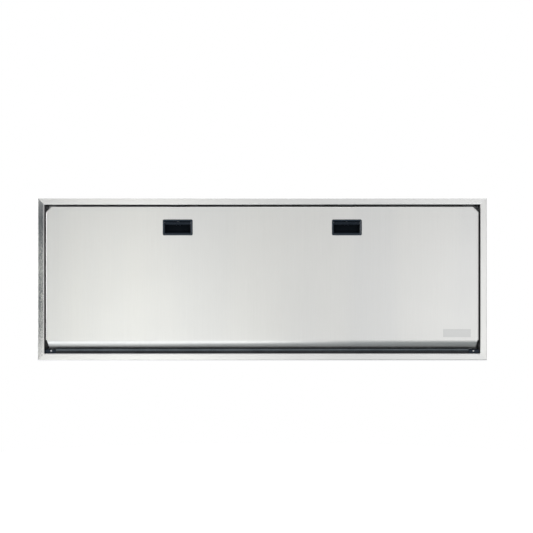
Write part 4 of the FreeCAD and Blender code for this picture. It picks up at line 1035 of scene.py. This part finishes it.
lampTarget = Vector((0.0, -0.05, 0.0))
creamWhite = (1.0, 1.0, 0.92)
lamps = {
    "keyPanel": {"place": (-1.12, -5.3, -0.38), "size": (0.9, 1.3), "power": 14.2, "tint": creamWhite},
    "fillPanel": {"place": (1.7, -5.0, -0.60), "size": (1.0, 1.8), "power": 13.0},
    "lowPanel": {"place": (-0.70, -1.25, -1.0), "size": (2.1, 0.6), "power": 10.2},
    "footPanel": {"place": (-0.60, -0.60, -1.08), "size": (2.3, 0.36), "power": 3.9},
    "sidePanel": {"place": (-4.0, -0.30, 0.15), "size": (0.8, 1.2), "power": 38.0},
    "topPanel": {"place": (0.0, -1.6, 3.4), "size": (3.6, 2.6), "power": 40.0},
    "backPanel": {"place": (0.6, 4.4, 2.2), "size": (3.4, 2.6), "power": 50.0},
}


def hangLamps():
    for name, lamp in lamps.items():
        data = bpy.data.lights.new(name, "AREA")
        data.shape = "RECTANGLE"
        data.size, data.size_y = lamp["size"]
        data.energy = lamp["power"]
        data.color = lamp.get("tint", plainWhite)
        panel = bpy.data.objects.new(name, data)
        panel.location = lamp["place"]
        panel.visible_camera = False
        panel.rotation_euler = (lampTarget - panel.location).to_track_quat("-Z", "Y").to_euler()
        bpy.context.collection.objects.link(panel)


flag = {"place": (-2.33, -5.2, 0.04), "size": (1.5, 1.06)}
flagLook = {
    "layers": {"felt": {"scale": 90.0, "detail": 3.0}}, "colour": (0.020, 0.050, 0.080),
    "shade": {"felt": 0.4}, "roughness": 0.9,
}


def darkFlag():  # a dark card beside the camera that shades the steel's left edge
    stood = {"location": flag["place"], "rotation": upright}
    card = start(bpy.ops.mesh.primitive_plane_add, "darkFlag", size=1.0, **stood)
    card.scale = (*flag["size"], 1.0)
    card.data.materials.append(Finish("darkFlag", flagLook).finished())
    card.visible_camera = False
    card.visible_diffuse = False
    card.visible_shadow = False


shot = {
    "distance": 5.6, "front": -0.114, "perPixel": 0.0040745, "pixels": 533, "sensor": 36.0,
    "centre": (262.3, 279.2),  # the pixel where the object's middle stands
}


def photoCamera():
    middle = shot["pixels"] / 2
    across, down = shot["centre"]
    data = bpy.data.cameras.new("photoCamera")
    data.sensor_width = shot["sensor"]
    data.lens = shot["sensor"] * shot["distance"] / (shot["pixels"] * shot["perPixel"])
    data.dof.use_dof = False
    camera = bpy.data.objects.new("photoCamera", data)
    x, z = (middle - across) * shot["perPixel"], (down - middle) * shot["perPixel"]
    camera.location = (x, shot["front"] - shot["distance"], z)
    camera.rotation_euler = upright
    bpy.context.collection.objects.link(camera)
    bpy.context.scene.camera = camera


paleFloor()
paleWorld()
hangLamps()
darkFlag()
photoCamera()
bpy.context.scene.view_settings.view_transform = "Standard"
print("floor, lamps and camera set")
